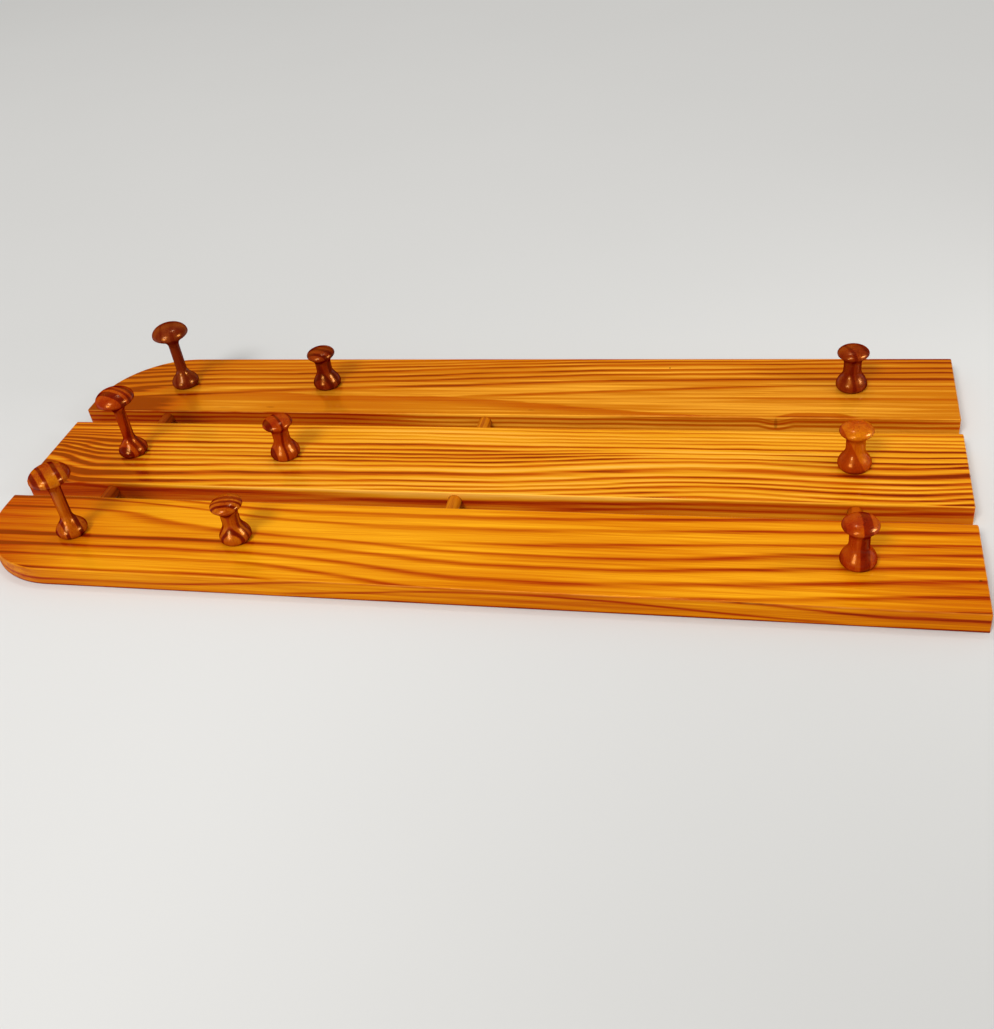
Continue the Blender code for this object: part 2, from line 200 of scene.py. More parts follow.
class NodeSheet:
    """The node tree of one finish or of the room."""

    RGBA_OUTPUT = 2

    def __init__(self, owner: bpy.types.Material | bpy.types.World) -> None:
        """Starts with an empty tree.

        Args:
            owner: The material or the world that the tree belongs to.
        """
        self.owner = owner
        owner.use_nodes = True
        self.tree = owner.node_tree
        self.tree.nodes.clear()

    @classmethod
    def for_finish(cls, name: str) -> NodeSheet:
        """The sheet of a new material of that name."""
        return cls(bpy.data.materials.new(name))

    def add(self, kind: str, settings: Settings, sockets: Sockets) -> bpy.types.Node:
        """Adds a node.

        Args:
            kind: The node's type.
            settings: Its own settings, which are set first; stops are those of a colour ramp.
            sockets: The values or links of its inputs, by place or by name.

        Returns:
            The node.
        """
        node = self.tree.nodes.new(kind)
        for key, value in settings.items():
            if key == "stops":
                self._set_stops(node.color_ramp, value)
            elif key == "blend":
                node.color_ramp.interpolation = value
            else:
                setattr(node, key, value)
        for key, value in sockets.items():
            if isinstance(value, Signal):
                self.tree.links.new(value.socket, node.inputs[key])
            else:
                node.inputs[key].default_value = value
        return node

    @staticmethod
    def _set_stops(ramp: bpy.types.ColorRamp, stops: Sequence[tuple[float, Colour]]) -> None:
        """Gives a colour ramp its stops.

        Args:
            ramp: The colour ramp.
            stops: Its stops, in order, each a place from 0 to 1 and a colour.
        """
        while len(ramp.elements) < len(stops):
            ramp.elements.new(1.0)
        for element, (position, colour) in zip(ramp.elements, stops):
            element.position = position
            element.color = (*colour, 1.0)

    def signal(self, kind: str, settings: Settings, sockets: Sockets, output: int | str = 0) -> Signal:
        """Adds a node and takes one of its outputs, by place or by name."""
        return Signal(self, self.add(kind, settings, sockets).outputs[output])

    def vector(self, operation: str, *values: Signal | Place) -> Signal:
        """The vector that comes out of a Vector Math node with that operation on the values."""
        return self.signal("ShaderNodeVectorMath", {"operation": operation}, dict(enumerate(values)))

    def split(self, vector: Signal) -> tuple[Signal, Signal, Signal]:
        """The three parts of a vector."""
        node = self.add("ShaderNodeSeparateXYZ", {}, {0: vector})
        return Signal(self, node.outputs[0]), Signal(self, node.outputs[1]), Signal(self, node.outputs[2])

    def millimetres_from(self, centre: Vector) -> Signal:
        """Where a point of the surface is, in millimetres from a centre that is given in metres."""
        place = self.signal("ShaderNodeTexCoord", {}, {}, "Object")
        return self.vector("DIVIDE", self.vector("SUBTRACT", place, tuple(centre)), (MM, MM, MM))

    def normal(self) -> tuple[Signal, Signal, Signal]:
        """The three parts of the surface's direction."""
        return self.split(self.signal("ShaderNodeNewGeometry", {}, {}, "Normal"))

    def grazing(self, start: float, full: float) -> Signal:
        """A soft step between two slants of the surface: 0 is seen from the front and 1 edge on."""
        return self.signal("ShaderNodeLayerWeight", {}, {"Blend": 0.5}, "Facing").smooth(start, full)

    def tones(self, factor: Signal, stops: Sequence[tuple[float, Colour]], blend: str = "LINEAR") -> Signal:
        """A colour ramp over stops, each a place from 0 to 1 and a colour."""
        return self.signal("ShaderNodeValToRGB", {"stops": stops, "blend": blend}, {0: factor})

    def levels(self, factor: Signal, stops: Sequence[Point]) -> Signal:
        """A soft ramp of plain values over stops, each a place from 0 to 1 and a value."""
        grey = [(position, (level, level, level)) for position, level in stops]
        return self.tones(factor, grey, "EASE")

    def mix(self, factor: Value, first: Signal | Colour, second: Signal | Colour) -> Signal:
        """Mixes two colours; the factor is the second one's share."""
        sockets = {0: factor, 6: self._rgba(first), 7: self._rgba(second)}
        return self.signal("ShaderNodeMix", {"data_type": "RGBA"}, sockets, self.RGBA_OUTPUT)

    @staticmethod
    def _rgba(colour: Signal | Colour) -> Signal | tuple[float, ...]:
        """A colour as a colour socket takes it."""
        return colour if isinstance(colour, Signal) else (*colour, 1.0)

    def bump(self, height: Signal, strength: float, depth: float) -> Signal:
        """The surface's direction, bumped by a relief of about 0 to 1 whose depth is in metres."""
        return self.signal("ShaderNodeBump", {}, {"Strength": strength, "Distance": depth, "Height": height})

    def finish(self, sockets: Sockets, matte: Signal | None = None) -> bpy.types.Material:
        """Ends the sheet with a Principled shader.

        Args:
            sockets: The values or links of the shader.
            matte: The share of the same colour without its gloss.

        Returns:
            The material.
        """
        shader = self.signal("ShaderNodeBsdfPrincipled", {}, sockets)
        if matte is not None:
            dull_sockets = {"Base Color": sockets["Base Color"], "Roughness": 1.0, "Specular IOR Level": 0.0}
            dull = self.signal("ShaderNodeBsdfPrincipled", {}, dull_sockets)
            shader = self.signal("ShaderNodeMixShader", {}, {0: matte, 1: shader, 2: dull})
        self.add("ShaderNodeOutputMaterial", {}, {"Surface": shader})
        return self.owner


@dataclass(frozen=True)
class Mottle:
    """Soft noise about 0: how long its patches are along each axis, its weight and its finer layers."""

    size: Place
    weight: float = 1.0
    layers: float = 2.0

    NOISE_MIDDLE = 0.5

    def at(self, place: Signal) -> Signal:
        """The noise at a place.

        Args:
            place: The place, in the unit of the size.

        Returns:
            The noise, mostly within a quarter of its weight either way.
        """
        sheet = place.sheet
        sockets = {"Vector": sheet.vector("DIVIDE", place, self.size), "Scale": 1.0, "Detail": self.layers}
        noise = sheet.signal("ShaderNodeTexNoise", {}, sockets) - self.NOISE_MIDDLE
        return noise if self.weight == 1.0 else noise * self.weight


def soft_step(value: float, low: float, high: float) -> float:
    """A soft step from 0 at low to 1 at high, for one number."""
    share = min(max((value - low) / (high - low), 0.0), 1.0)
    return share * share * (3 - 2 * share)


@dataclass(frozen=True)
class Drift:
    """A stretch along a board where its grain lines climb across it. Lengths are in millimetres.

    The climb lies between start and end along the board. It fades in across the board from calm to full, or
    is the same all over where neither is given, and lean moves it along the board with the distance above
    the centre line.
    """

    start: float
    end: float
    climb: float
    calm: float | None = None
    full: float | None = None
    lean: float = 0.0

    def shift(self, x: Signal, y: Signal) -> Signal:
        """How far a point's grain has climbed, against the middle of the board.

        Args:
            x: The point's place along the board.
            y: Its place across the board.

        Returns:
            The climb, in millimetres.
        """
        along = x + y.over(0.0) * self.lean if self.lean else x
        climb = (along.smooth(self.start, self.end) - soft_step(0.0, self.start, self.end)) * self.climb
        if self.calm is None or self.full is None:
            return climb
        return climb * y.ramp(self.calm, self.full)


@dataclass(frozen=True)
class GrainLine:
    """A dark line of late growth: its place at the middle of the board, its width and how dark it is.

    Where fade is given, the line comes up between those two places along the board.
    """

    place: float
    width: float
    depth: float
    fade: Point | None = None

    SKIRT = 2.4
    INNER = 1.1
    OUTER = 0.75
    SKIRT_DEPTH = 0.08

    @property
    def low(self) -> float:
        """Where the line's shading starts."""
        return self.place - self.width * self.SKIRT

    @property
    def high(self) -> float:
        """Where the line's shading ends."""
        return self.place + self.width * self.OUTER

    def stops(self) -> list[Point]:
        """The line's shading, each point a place across the grain and a darkness."""
        return [
            (self.low, 0.0),
            (self.place - self.width * self.INNER, self.depth * self.SKIRT_DEPTH),
            (self.place, self.depth),
            (self.high, 0.0),
        ]


@dataclass(frozen=True)
class EdgeLine:
    """A dark line on a board's long edges, mostly grain and some of it painted shade, or a pale one where
    depth is below 0, which is a painted highlight. Lengths are in millimetres.

    Its height above the back is the one given, and climbs with each of the bends, which are starts, ends and
    climbs along the board. Width is how far it reaches to either side. It comes in and goes out between the
    places given.
    """

    height: float
    width: float
    depth: float
    bends: tuple[Bend, ...] = ()
    comes: Point = (-520.0, -510.0)
    goes: Point = (510.0, 520.0)

    def darkness(self, x: Signal, height: Signal) -> Signal:
        """How much the line darkens a point.

        Args:
            x: The point's place along the board.
            height: Its height above the back.

        Returns:
            The darkness, which is below 0 for a pale line.
        """
        away = height - self.height
        for start, end, climb in self.bends:
            away = away - x.smooth(start, end) * climb
        stretch = x.smooth(*self.comes) * (1.0 - x.smooth(*self.goes))
        return abs(away).smooth(self.width, 0.0) * stretch * self.depth


@dataclass(frozen=True)
class Flame:
    """A darker tongue of wood along a board's lower side. Lengths are in millimetres.

    Its upper edge is at the height edge, and climbs with each of the bends, which are starts, ends and
    climbs along the board. It comes in and goes out between the places given, and hollow is the share by
    which it lightens away from its upper edge.
    """

    edge: float
    bends: tuple[Bend, ...]
    comes: Point
    goes: Point
    depth: float
    hollow: float = 0.0

    EDGE_SOFTNESS = 3.0
    HOLLOW_START = 5.0
    HOLLOW_END = 20.0

    def darkness(self, x: Signal, y: Signal) -> Signal:
        """How much the flame darkens a point.

        Args:
            x: The point's place along the board.
            y: Its place across the board.

        Returns:
            The darkness, from 0 to 1.
        """
        below = self.edge - y
        for start, end, climb in self.bends:
            below = below + x.smooth(start, end) * climb
        inside = below.smooth(0.0, self.EDGE_SOFTNESS) * x.smooth(*self.comes) * (1.0 - x.smooth(*self.goes))
        inner = below.smooth(self.HOLLOW_START, self.HOLLOW_END) * self.hollow
        return inside * (1.0 - inner) * self.depth


@dataclass(frozen=True)
class Knot:
    """A pin knot or a resin fleck. Lengths are in millimetres from the board's centre and its back."""

    place: Place
    length: float
    width: float
    depth: float = 1.0

    CORE = 0.45

    def darkness(self, sheet: NodeSheet, place: Signal) -> Signal:
        """How much the knot darkens a point.

        Args:
            sheet: The finish's node sheet.
            place: The point's place on the board.

        Returns:
            The darkness, from 0 to 1.
        """
        half = (self.length / 2, self.width / 2, self.width / 2)
        near = sheet.vector("DIVIDE", sheet.vector("SUBTRACT", place, self.place), half)
        distance = sheet.signal("ShaderNodeVectorMath", {"operation": "LENGTH"}, {0: near}, "Value")
        return distance.smooth(1.0, self.CORE) * self.depth


@dataclass(frozen=True)
class BoardGrain:
    """How one board was sawn from the log, in millimetres from its centre line and its face.

    Slope and bow say how the growth rings dip away from the face into the thickness, as the ends show. The
    long edges cut other rings, and the edge shade is how much darker they are than the face. Level lines
    keep clear of the drifts.
    """

    lines: tuple[GrainLine, ...]
    drifts: tuple[Drift, ...]
    edge_lines: tuple[EdgeLine, ...]
    edge_shade: float
    level_lines: tuple[GrainLine, ...] = ()
    flames: tuple[Flame, ...] = ()
    knots: tuple[Knot, ...] = ()
    # Painted shade towards the top and the bottom end, in place of the light and mirrored glow that fall off
    # there.
    top_painted_shade: float = 0.25
    bottom_painted_shade: float = 0.20
    slope: float = 0.8
    bow: float = 0.012
    seed: float = 0.0

    LINES_PER_RAMP = 7
    SHADE_START = 320.0
    SHADE_END = 480.0
    WAVER = Mottle((210.0, 46.0, 46.0), 7.0)
    RIPPLE = Mottle((46.0, 13.0, 13.0), 2.0)
    EDGE_WAVER = Mottle((90.0, 60.0, 40.0), 2.5)

    def across(self, sheet: NodeSheet, field_place: Signal, place: Signal, thickness: float) -> Signal:
        """The place of a point across the grain, at the middle of the board.

        Args:
            sheet: The finish's node sheet.
            field_place: The place that drives the noise.
            place: The place on the board.
            thickness: The board's thickness, in millimetres.

        Returns:
            The place across the grain, which is level along each grain line.
        """
        x, y, z = sheet.split(place)
        depth = thickness - z
        wavy = y + self.WAVER.at(field_place) + self.RIPPLE.at(field_place)
        grain = wavy - depth * self.slope - depth * depth * self.bow
        for drift in self.drifts:
            grain = grain - drift.shift(x, y)
        return grain

    def darkness(self, sheet: NodeSheet, across: Signal, x: Signal, y: Signal) -> Signal:
        """How dark the grain lines make a point.

        Args:
            sheet: The finish's node sheet.
            across: The place across the grain.
            x: The place along the board.
            y: The place across the board.

        Returns:
            The darkness, from 0 to 1.
        """
        steady = sorted((line for line in self.lines if line.fade is None), key=lambda line: line.place)
        parts = []
        for first in range(0, len(steady), self.LINES_PER_RAMP):
            parts.append(self._ramp(sheet, across, steady[first : first + self.LINES_PER_RAMP]))
        for line in self.lines:
            if line.fade is not None:
                parts.append(self._ramp(sheet, across, [line]) * x.smooth(*line.fade))
        for line in self.level_lines:
            parts.append(self._ramp(sheet, y, [line]) * x.smooth(*line.fade))
        return reduce(Signal.over, parts)

    def edge_darkness(self, sheet: NodeSheet, field_place: Signal, place: Signal) -> Signal:
        """How dark the grain lines make a point of a long edge.

        Args:
            sheet: The finish's node sheet.
            field_place: The place that drives the noise.
            place: The place on the board.

        Returns:
            The darkness, from 0 to 1.
        """
        x, _, z = sheet.split(place)
        height = z + self.EDGE_WAVER.at(field_place)
        return reduce(Signal.__add__, [line.darkness(x, height) for line in self.edge_lines])

    def end_painted_shade(self, x: Signal) -> Signal:
        """Painted shade: how much darker the wood is drawn towards the board's two ends, in place of the
        light and mirrored glow that fall off there.
        """
        top = x.smooth(-self.SHADE_START, -self.SHADE_END) * self.top_painted_shade
        return top + x.smooth(self.SHADE_START, self.SHADE_END) * self.bottom_painted_shade

    @staticmethod
    def _ramp(sheet: NodeSheet, across: Signal, lines: Sequence[GrainLine]) -> Signal:
        """One ramp over a few neighbouring lines.

        Args:
            sheet: The finish's node sheet.
            across: The place across the grain.
            lines: The lines, in order.

        Returns:
            The darkness, from 0 to 1.
        """
        low = lines[0].low
        high = lines[-1].high
        stops: list[Point] = []
        for line in lines:
            for place, level in line.stops():
                share = (place - low) / (high - low)
                if stops and share <= stops[-1][0]:
                    continue
                stops.append((share, level))
        return sheet.levels((across - low) / (high - low), stops)


@dataclass(frozen=True)
class LacqueredPine:
    """Amber gloss lacquer over a planed pine board, whose tone goes from 0 for the palest wood to 1."""

    name: str
    light: Colour
    middle: Colour
    dark: Colour
    grain: BoardGrain
    # Painted shade on the long edges in the gaps: a deep red drawn in where the edge is darker, in place of
    # the shade and red bounce light between the boards.
    edge_painted_shade: float = 0.0
    deep: Colour = (0.17, 0.008, 0.0003)
    knot_colour: Colour = (0.10, 0.014, 0.001)
    edge_painted_shade_colour: Colour = (0.44, 0.022, 0.0003)
    # Pale amber for the arrises: partly rubbed lacquer and partly a painted highlight along the rounded
    # edges.
    wear_and_highlight_colour: Colour = (1.0, 0.54, 0.06)
    roughness: float = 0.20
    coat: float = 0.03
    coat_roughness: float = 0.12
    gloss_index: float = 1.5
    gloss_level: float = 0.8
    gloss_tint: Colour = (1.0, 0.42, 0.03)
    edge_matte: float = 0.7

    RAGGED = Mottle((34.0, 9.0, 9.0), 5.0)
    UNEVEN = Mottle((120.0, 9.0, 9.0), 0.7)
    FIBRE = Mottle((70.0, 1.2, 1.2), layers=3.0)
    STREAK = Mottle((240.0, 4.5, 4.5), 0.7)
    BROAD = Mottle((320.0, 48.0, 48.0), 0.6, layers=1.0)
    RUB = Mottle((26.0, 9.0, 9.0), 1.6, layers=3.0)
    HAZE = Mottle((90.0, 30.0, 30.0), layers=3.0)
    EDGE_TURN = (0.45, 0.80)
    ARRIS_START = (0.08, 0.40)
    ARRIS_END = (0.75, 0.98)
    LINE_STRENGTH = 0.95
    PLAIN_TONE = 0.24
    FIBRE_TONE = 0.5
    LINE_TONE = 0.8
    MIDDLE_TONE = 0.35
    DARK_TONE = 0.80
    EDGE_SPARED = 0.8
    WEAR_AND_HIGHLIGHT_SHARE = 0.35
    WEAR_AND_HIGHLIGHT_COVER = 0.35
    HAZE_ROUGHNESS = 0.10
    WORN_ROUGHNESS = 0.10
    GRAZING = (0.60, 0.95)
    GRAZING_ROUGHNESS = 0.35
    HAZE_COAT = 0.2
    LINE_RELIEF = 0.5
    RELIEF_STRENGTH = 0.10
    RELIEF_DEPTH = 0.4 * MM

    def material(self, centre: Vector, thickness: float) -> bpy.types.Material:
        """Makes the board's material.

        Args:
            centre: The middle of the board's back, in metres.
            thickness: The board's thickness, in metres.

        Returns:
            The material.
        """
        sheet = NodeSheet.for_finish(self.name)
        place = sheet.millimetres_from(centre)
        field_place = sheet.vector("ADD", place, (0.0, 0.0, self.grain.seed))
        x, y, _ = sheet.split(place)

        across = self.grain.across(sheet, field_place, place, thickness / MM)
        face_lines = self.grain.darkness(sheet, across, x, y)
        ragged = y + self.RAGGED.at(field_place)
        for flame in self.grain.flames:
            face_lines = face_lines.over(flame.darkness(x, ragged))
        edge_lines = self.grain.edge_darkness(sheet, field_place, place)
        edge = abs(sheet.normal()[1]).smooth(*self.EDGE_TURN)
        strength = self.LINE_STRENGTH + self.UNEVEN.at(field_place)
        lines = (face_lines * (1.0 - edge) + edge_lines * edge) * strength

        fibre = self.FIBRE.at(field_place)
        mottled = fibre * self.FIBRE_TONE + self.STREAK.at(field_place) + self.BROAD.at(field_place)
        plain = self.PLAIN_TONE + mottled + edge * self.grain.edge_shade
        # Painted shade towards the ends, mostly kept off the long edges.
        end_painted_shade = self.grain.end_painted_shade(x) * (1.0 - edge * self.EDGE_SPARED)
        tone = (plain + lines * self.LINE_TONE + end_painted_shade).held()
        stops = [
            (0.0, self.light),
            (self.MIDDLE_TONE, self.middle),
            (self.DARK_TONE, self.dark),
            (1.0, self.deep),
        ]
        # Painted shade and bounce light on the edges in the gaps, as a deep red mixed in with the tone.
        colour = sheet.mix(edge * tone * self.edge_painted_shade, sheet.tones(tone, stops), self.edge_painted_shade_colour)

        for knot in self.grain.knots:
            colour = sheet.mix(knot.darkness(sheet, place), colour, self.knot_colour)

        # Wear and a painted highlight: the rounded arrises are drawn paler, partly rubbed lacquer and partly
        # the bright arris highlight.
        wear_and_highlight = self._arris(sheet) * (self.WEAR_AND_HIGHLIGHT_SHARE + self.RUB.at(field_place)).held()
        colour = sheet.mix(wear_and_highlight * self.WEAR_AND_HIGHLIGHT_COVER, colour, self.wear_and_highlight_colour)

        haze = self.HAZE.at(field_place)
        dulled = haze * self.HAZE_ROUGHNESS + wear_and_highlight * self.WORN_ROUGHNESS
        relief = lines * self.LINE_RELIEF + fibre
        return sheet.finish(
            {
                "Base Color": colour,
                "Roughness": self.roughness + dulled + sheet.grazing(*self.GRAZING) * self.GRAZING_ROUGHNESS,
                "IOR": self.gloss_index,
                "Specular IOR Level": self.gloss_level,
                "Specular Tint": (*self.gloss_tint, 1.0),
                "Coat Weight": (self.coat + haze * self.HAZE_COAT).over(0.0),
                "Coat Roughness": self.coat_roughness,
                "Normal": sheet.bump(relief, self.RELIEF_STRENGTH, self.RELIEF_DEPTH),
            },
            edge * self.edge_matte,
        )

    def _arris(self, sheet: NodeSheet) -> Signal:
        """Where the surface turns over a rounded edge of the face or the back."""
        upright = abs(sheet.normal()[2])
        return upright.smooth(*self.ARRIS_START) * (1.0 - upright.smooth(*self.ARRIS_END))


@dataclass(frozen=True)
class RingBand:
    """A dark growth ring in a turned peg, in millimetres across the rings from the peg's axis."""

    start: float
    end: float
    depth: float

    FALL = 0.9
    RISE = 0.4

    def stops(self) -> list[Point]:
        """The ring's shading, each point a place across the rings and a darkness."""
        return [
            (self.start - self.FALL, 0.0),
            (self.start + self.RISE, self.depth),
            (self.end - self.RISE, self.depth),
            (self.end + self.FALL, 0.0),
        ]


@dataclass(frozen=True)
class LacqueredPeg:
    """Reddish brown gloss lacquer over a turned peg, whose growth rings are cut lengthwise.

    The rings lie across the direction turn, in degrees from X, and lean by tilt for each millimetre up the
    peg.
    """

    light: Colour
    middle: Colour
    dark: Colour
    bands: tuple[RingBand, ...]
    turn: float
    tilt: float = 0.0
    roughness: float = 0.26
    coat: float = 0.06
    coat_roughness: float = 0.06
    gloss_index: float = 1.5
    gloss_level: float = 0.45
    gloss_tint: Colour = (1.0, 0.40, 0.07)

    WAVER = Mottle((16.0, 16.0, 50.0), 2.5)
    FIBRE = Mottle((1.3, 1.3, 26.0), layers=3.0)
    CLOUD = Mottle((18.0, 18.0, 40.0), 0.9)
    HAZE = Mottle((12.0, 12.0, 12.0), layers=3.0)
    SEED_STEP = 10.0
    PLAIN_TONE = 0.27
    RING_TONE = 0.75
    FIBRE_TONE = 0.5
    MIDDLE_TONE = 0.42
    HAZE_ROUGHNESS = 0.14
    HAZE_COAT = 0.1
    GRAZING = (0.40, 0.72)
    RING_RELIEF = 0.4
    RELIEF_STRENGTH = 0.10
    RELIEF_DEPTH = 0.3 * MM

    def material(self, name: str, foot: Vector) -> bpy.types.Material:
        """Makes the peg's material.

        Args:
            name: The material's name.
            foot: The middle of the peg's foot, in metres.

        Returns:
            The material.
        """
        sheet = NodeSheet.for_finish(name)
        place = sheet.millimetres_from(foot)
        first = self.bands[0]
        seed = (self.turn, first.start * self.SEED_STEP, first.end * self.SEED_STEP)
        seeded = sheet.vector("ADD", place, seed)
        rings = self._rings(sheet, place, seeded)
        fibre = self.FIBRE.at(seeded)
        plain = self.PLAIN_TONE + rings * self.RING_TONE
        tone = (plain + fibre * self.FIBRE_TONE + self.CLOUD.at(seeded)).held()
        stops = [(0.0, self.light), (self.MIDDLE_TONE, self.middle), (1.0, self.dark)]

        haze = self.HAZE.at(seeded)
        relief = rings * self.RING_RELIEF + fibre
        return sheet.finish(
            {
                "Base Color": sheet.tones(tone, stops),
                "Roughness": self.roughness + haze * self.HAZE_ROUGHNESS,
                "IOR": self.gloss_index,
                "Specular IOR Level": self.gloss_level,
                "Specular Tint": (*self.gloss_tint, 1.0),
                "Coat Weight": (self.coat + haze * self.HAZE_COAT).over(0.0),
                "Coat Roughness": self.coat_roughness,
                "Normal": sheet.bump(relief, self.RELIEF_STRENGTH, self.RELIEF_DEPTH),
            },
            sheet.grazing(*self.GRAZING),
        )

    def _rings(self, sheet: NodeSheet, place: Signal, seeded: Signal) -> Signal:
        """How dark the growth rings make a point.

        Args:
            sheet: The finish's node sheet.
            place: The point's place on the peg.
            seeded: The place that drives the noise.

        Returns:
            The darkness, from 0 to 1.
        """
        x, y, z = sheet.split(place)
        turn = math.radians(self.turn)
        across = x * math.cos(turn) + y * math.sin(turn) + z * self.tilt + self.WAVER.at(seeded)
        stops = [stop for band in self.bands for stop in band.stops()]
        low = stops[0][0]
        span = stops[-1][0] - low
        return sheet.levels((across - low) / span, [((at - low) / span, level) for at, level in stops])


@dataclass(frozen=True)
class DowelWood:
    """Satin lacquer over a plain dowel whose grain runs along it."""

    light: Colour
    dark: Colour
    roughness: float = 0.36
    gloss_level: float = 0.2
    gloss_tint: Colour = (1.0, 0.42, 0.03)

    RINGS = Mottle((2.6, 90.0, 5.0))
    RING_STEP = (-0.05, 0.22)
    FIBRE = Mottle((0.7, 22.0, 0.7), layers=3.0)
    PLAIN_TONE = 0.12
    RING_TONE = 0.7
    FIBRE_TONE = 0.7
    FIBRE_ROUGHNESS = 0.2
    RELIEF_STRENGTH = 0.15
    RELIEF_DEPTH = 0.3 * MM

    def material(self, name: str, centre: Vector, seed: float) -> bpy.types.Material:
        """Makes a dowel's material.

        Args:
            name: The material's name.
            centre: The middle of the dowel, in metres.
            seed: What tells this dowel's grain from another's.

        Returns:
            The material.
        """
        sheet = NodeSheet.for_finish(name)
        place = sheet.millimetres_from(centre)
        seeded = sheet.vector("ADD", place, (seed, 0.0, 0.0))
        rings = self.RINGS.at(seeded).smooth(*self.RING_STEP)
        fibre = self.FIBRE.at(seeded)
        tone = (rings * self.RING_TONE + fibre * self.FIBRE_TONE + self.PLAIN_TONE).held()
        return sheet.finish(
            {
                "Base Color": sheet.mix(tone, self.light, self.dark),
                "Roughness": self.roughness + fibre * self.FIBRE_ROUGHNESS,
                "Specular IOR Level": self.gloss_level,
                "Specular Tint": (*self.gloss_tint, 1.0),
                "Normal": sheet.bump(fibre, self.RELIEF_STRENGTH, self.RELIEF_DEPTH),
            }
        )


@dataclass(frozen=True)
class ZincPlating:
    """Zinc plating, with a faint spangle and with the marks of the strip's rolling along X."""

    colour: Colour = (0.60, 0.61, 0.60)
    dull: Colour = (0.42, 0.43, 0.43)
    roughness: float = 0.34

    BRUSHED = Mottle((9.0, 0.25, 0.25), layers=3.0)
    SPANGLE = Mottle((3.2, 3.2, 3.2))
    PLAIN_TONE = 0.4
    SPANGLE_TONE = 1.6
    BRUSHED_TONE = 0.7
    SPANGLE_ROUGHNESS = 0.25
    BRUSHED_ROUGHNESS = 0.15
    RELIEF_STRENGTH = 0.12
    RELIEF_DEPTH = 0.1 * MM

    def material(self, name: str, centre: Vector) -> bpy.types.Material:
        """Makes the plating's material.

        Args:
            name: The material's name.
            centre: The middle of the piece, in metres.

        Returns:
            The material.
        """
        sheet = NodeSheet.for_finish(name)
        place = sheet.millimetres_from(centre)
        brushed = self.BRUSHED.at(place)
        spangle = self.SPANGLE.at(place)
        tone = (self.PLAIN_TONE + spangle * self.SPANGLE_TONE + brushed * self.BRUSHED_TONE).held()
        dulled = spangle * self.SPANGLE_ROUGHNESS + brushed * self.BRUSHED_ROUGHNESS
        return sheet.finish(
            {
                "Base Color": sheet.mix(tone, self.colour, self.dull),
                "Metallic": 1.0,
                "Roughness": self.roughness + dulled,
                "Normal": sheet.bump(brushed, self.RELIEF_STRENGTH, self.RELIEF_DEPTH),
            }
        )


@dataclass(frozen=True)
class FloorPaint:
    """A plain pale floor with painted shade: a little darker behind the rack and to its right."""

    colour: Colour = (0.715, 0.707, 0.686)
    shade: Colour = (0.585, 0.579, 0.560)
    roughness: float = 0.75

    CLOUD = Mottle((420.0, 420.0, 420.0), 0.15)
    NEARWARD = (300.0, -300.0)
    RIGHTWARD = (-250.0, 500.0)
    BACK_TONE = 0.68
    NEAR_DROP = 0.62
    RIGHT_RISE = 0.9

    def material(self) -> bpy.types.Material:
        """Makes the floor's material.

        Returns:
            The material.
        """
        sheet = NodeSheet.for_finish("pale_floor")
        place = sheet.millimetres_from(Vector())
        x, y, _ = sheet.split(place)
        # Painted shade: the floor is drawn darker behind the rack and towards its near right, in place of
        # the light that falls off there.
        change = x.smooth(*self.RIGHTWARD) * self.RIGHT_RISE - self.NEAR_DROP
        tone = self.BACK_TONE + y.smooth(*self.NEARWARD) * change + self.CLOUD.at(place)
        return sheet.finish(
            {
                "Base Color": sheet.mix(tone.held(), self.colour, self.shade),
                "Roughness": self.roughness,
                "Specular IOR Level": 0.0,
            }
        )


def shade_round(mesh: bpy.types.Mesh) -> None:
    """Shades a mesh smoothly, apart from its sharp edges."""
    mesh.shade_smooth()
    mesh.set_sharp_from_angle(angle=SMOOTH_ANGLE)


def mesh_from(name: str, bm: bmesh.types.BMesh) -> bpy.types.Mesh:
    """Turns a bmesh into a closed, smooth-shaded mesh with its faces pointing out.

    Args:
        name: The mesh's name.
        bm: The bmesh, which is freed.

    Returns:
        The mesh.
    """
    bmesh.ops.remove_doubles(bm, verts=bm.verts, dist=MERGE_DISTANCE)
    bmesh.ops.recalc_face_normals(bm, faces=bm.faces)
    mesh = bpy.data.meshes.new(name)
    bm.to_mesh(mesh)
    bm.free()
    shade_round(mesh)
    return mesh


def turned_mesh(name: str, profile: Sequence[Point], sides: int) -> bpy.types.Mesh:
    """Spins a profile about Z.

    Args:
        name: The mesh's name.
        profile: Points of radius and height, from the top of the axis to its bottom.
        sides: How many steps the turn has.

    Returns:
        The mesh.
    """
    bm = bmesh.new()
    verts = [bm.verts.new((radius, 0.0, height)) for radius, height in profile]
    edges = [bm.edges.new(pair) for pair in zip(verts, verts[1:])]
    bmesh.ops.spin(
        bm,
        geom=verts + edges,
        cent=(0.0, 0.0, 0.0),
        axis=(0.0, 0.0, 1.0),
        angle=2 * math.pi,
        steps=sides,
        use_merge=True,
    )
    return mesh_from(name, bm)


def prism_mesh(name: str, outline: Sequence[Point], low: float, high: float) -> bpy.types.Mesh:
    """Extrudes a flat outline from one height up to another.

    Args:
        name: The mesh's name.
        outline: Points of X and Y.
        low: The height of the lower face.
        high: The height of the upper face.

    Returns:
        The mesh.
    """
    bm = bmesh.new()
    face = bm.faces.new([bm.verts.new((x, y, low)) for x, y in outline])
    raised = bmesh.ops.extrude_face_region(bm, geom=[face])["geom"]
    verts = [item for item in raised if isinstance(item, bmesh.types.BMVert)]
    bmesh.ops.translate(bm, verts=verts, vec=(0.0, 0.0, high - low))
    return mesh_from(name, bm)


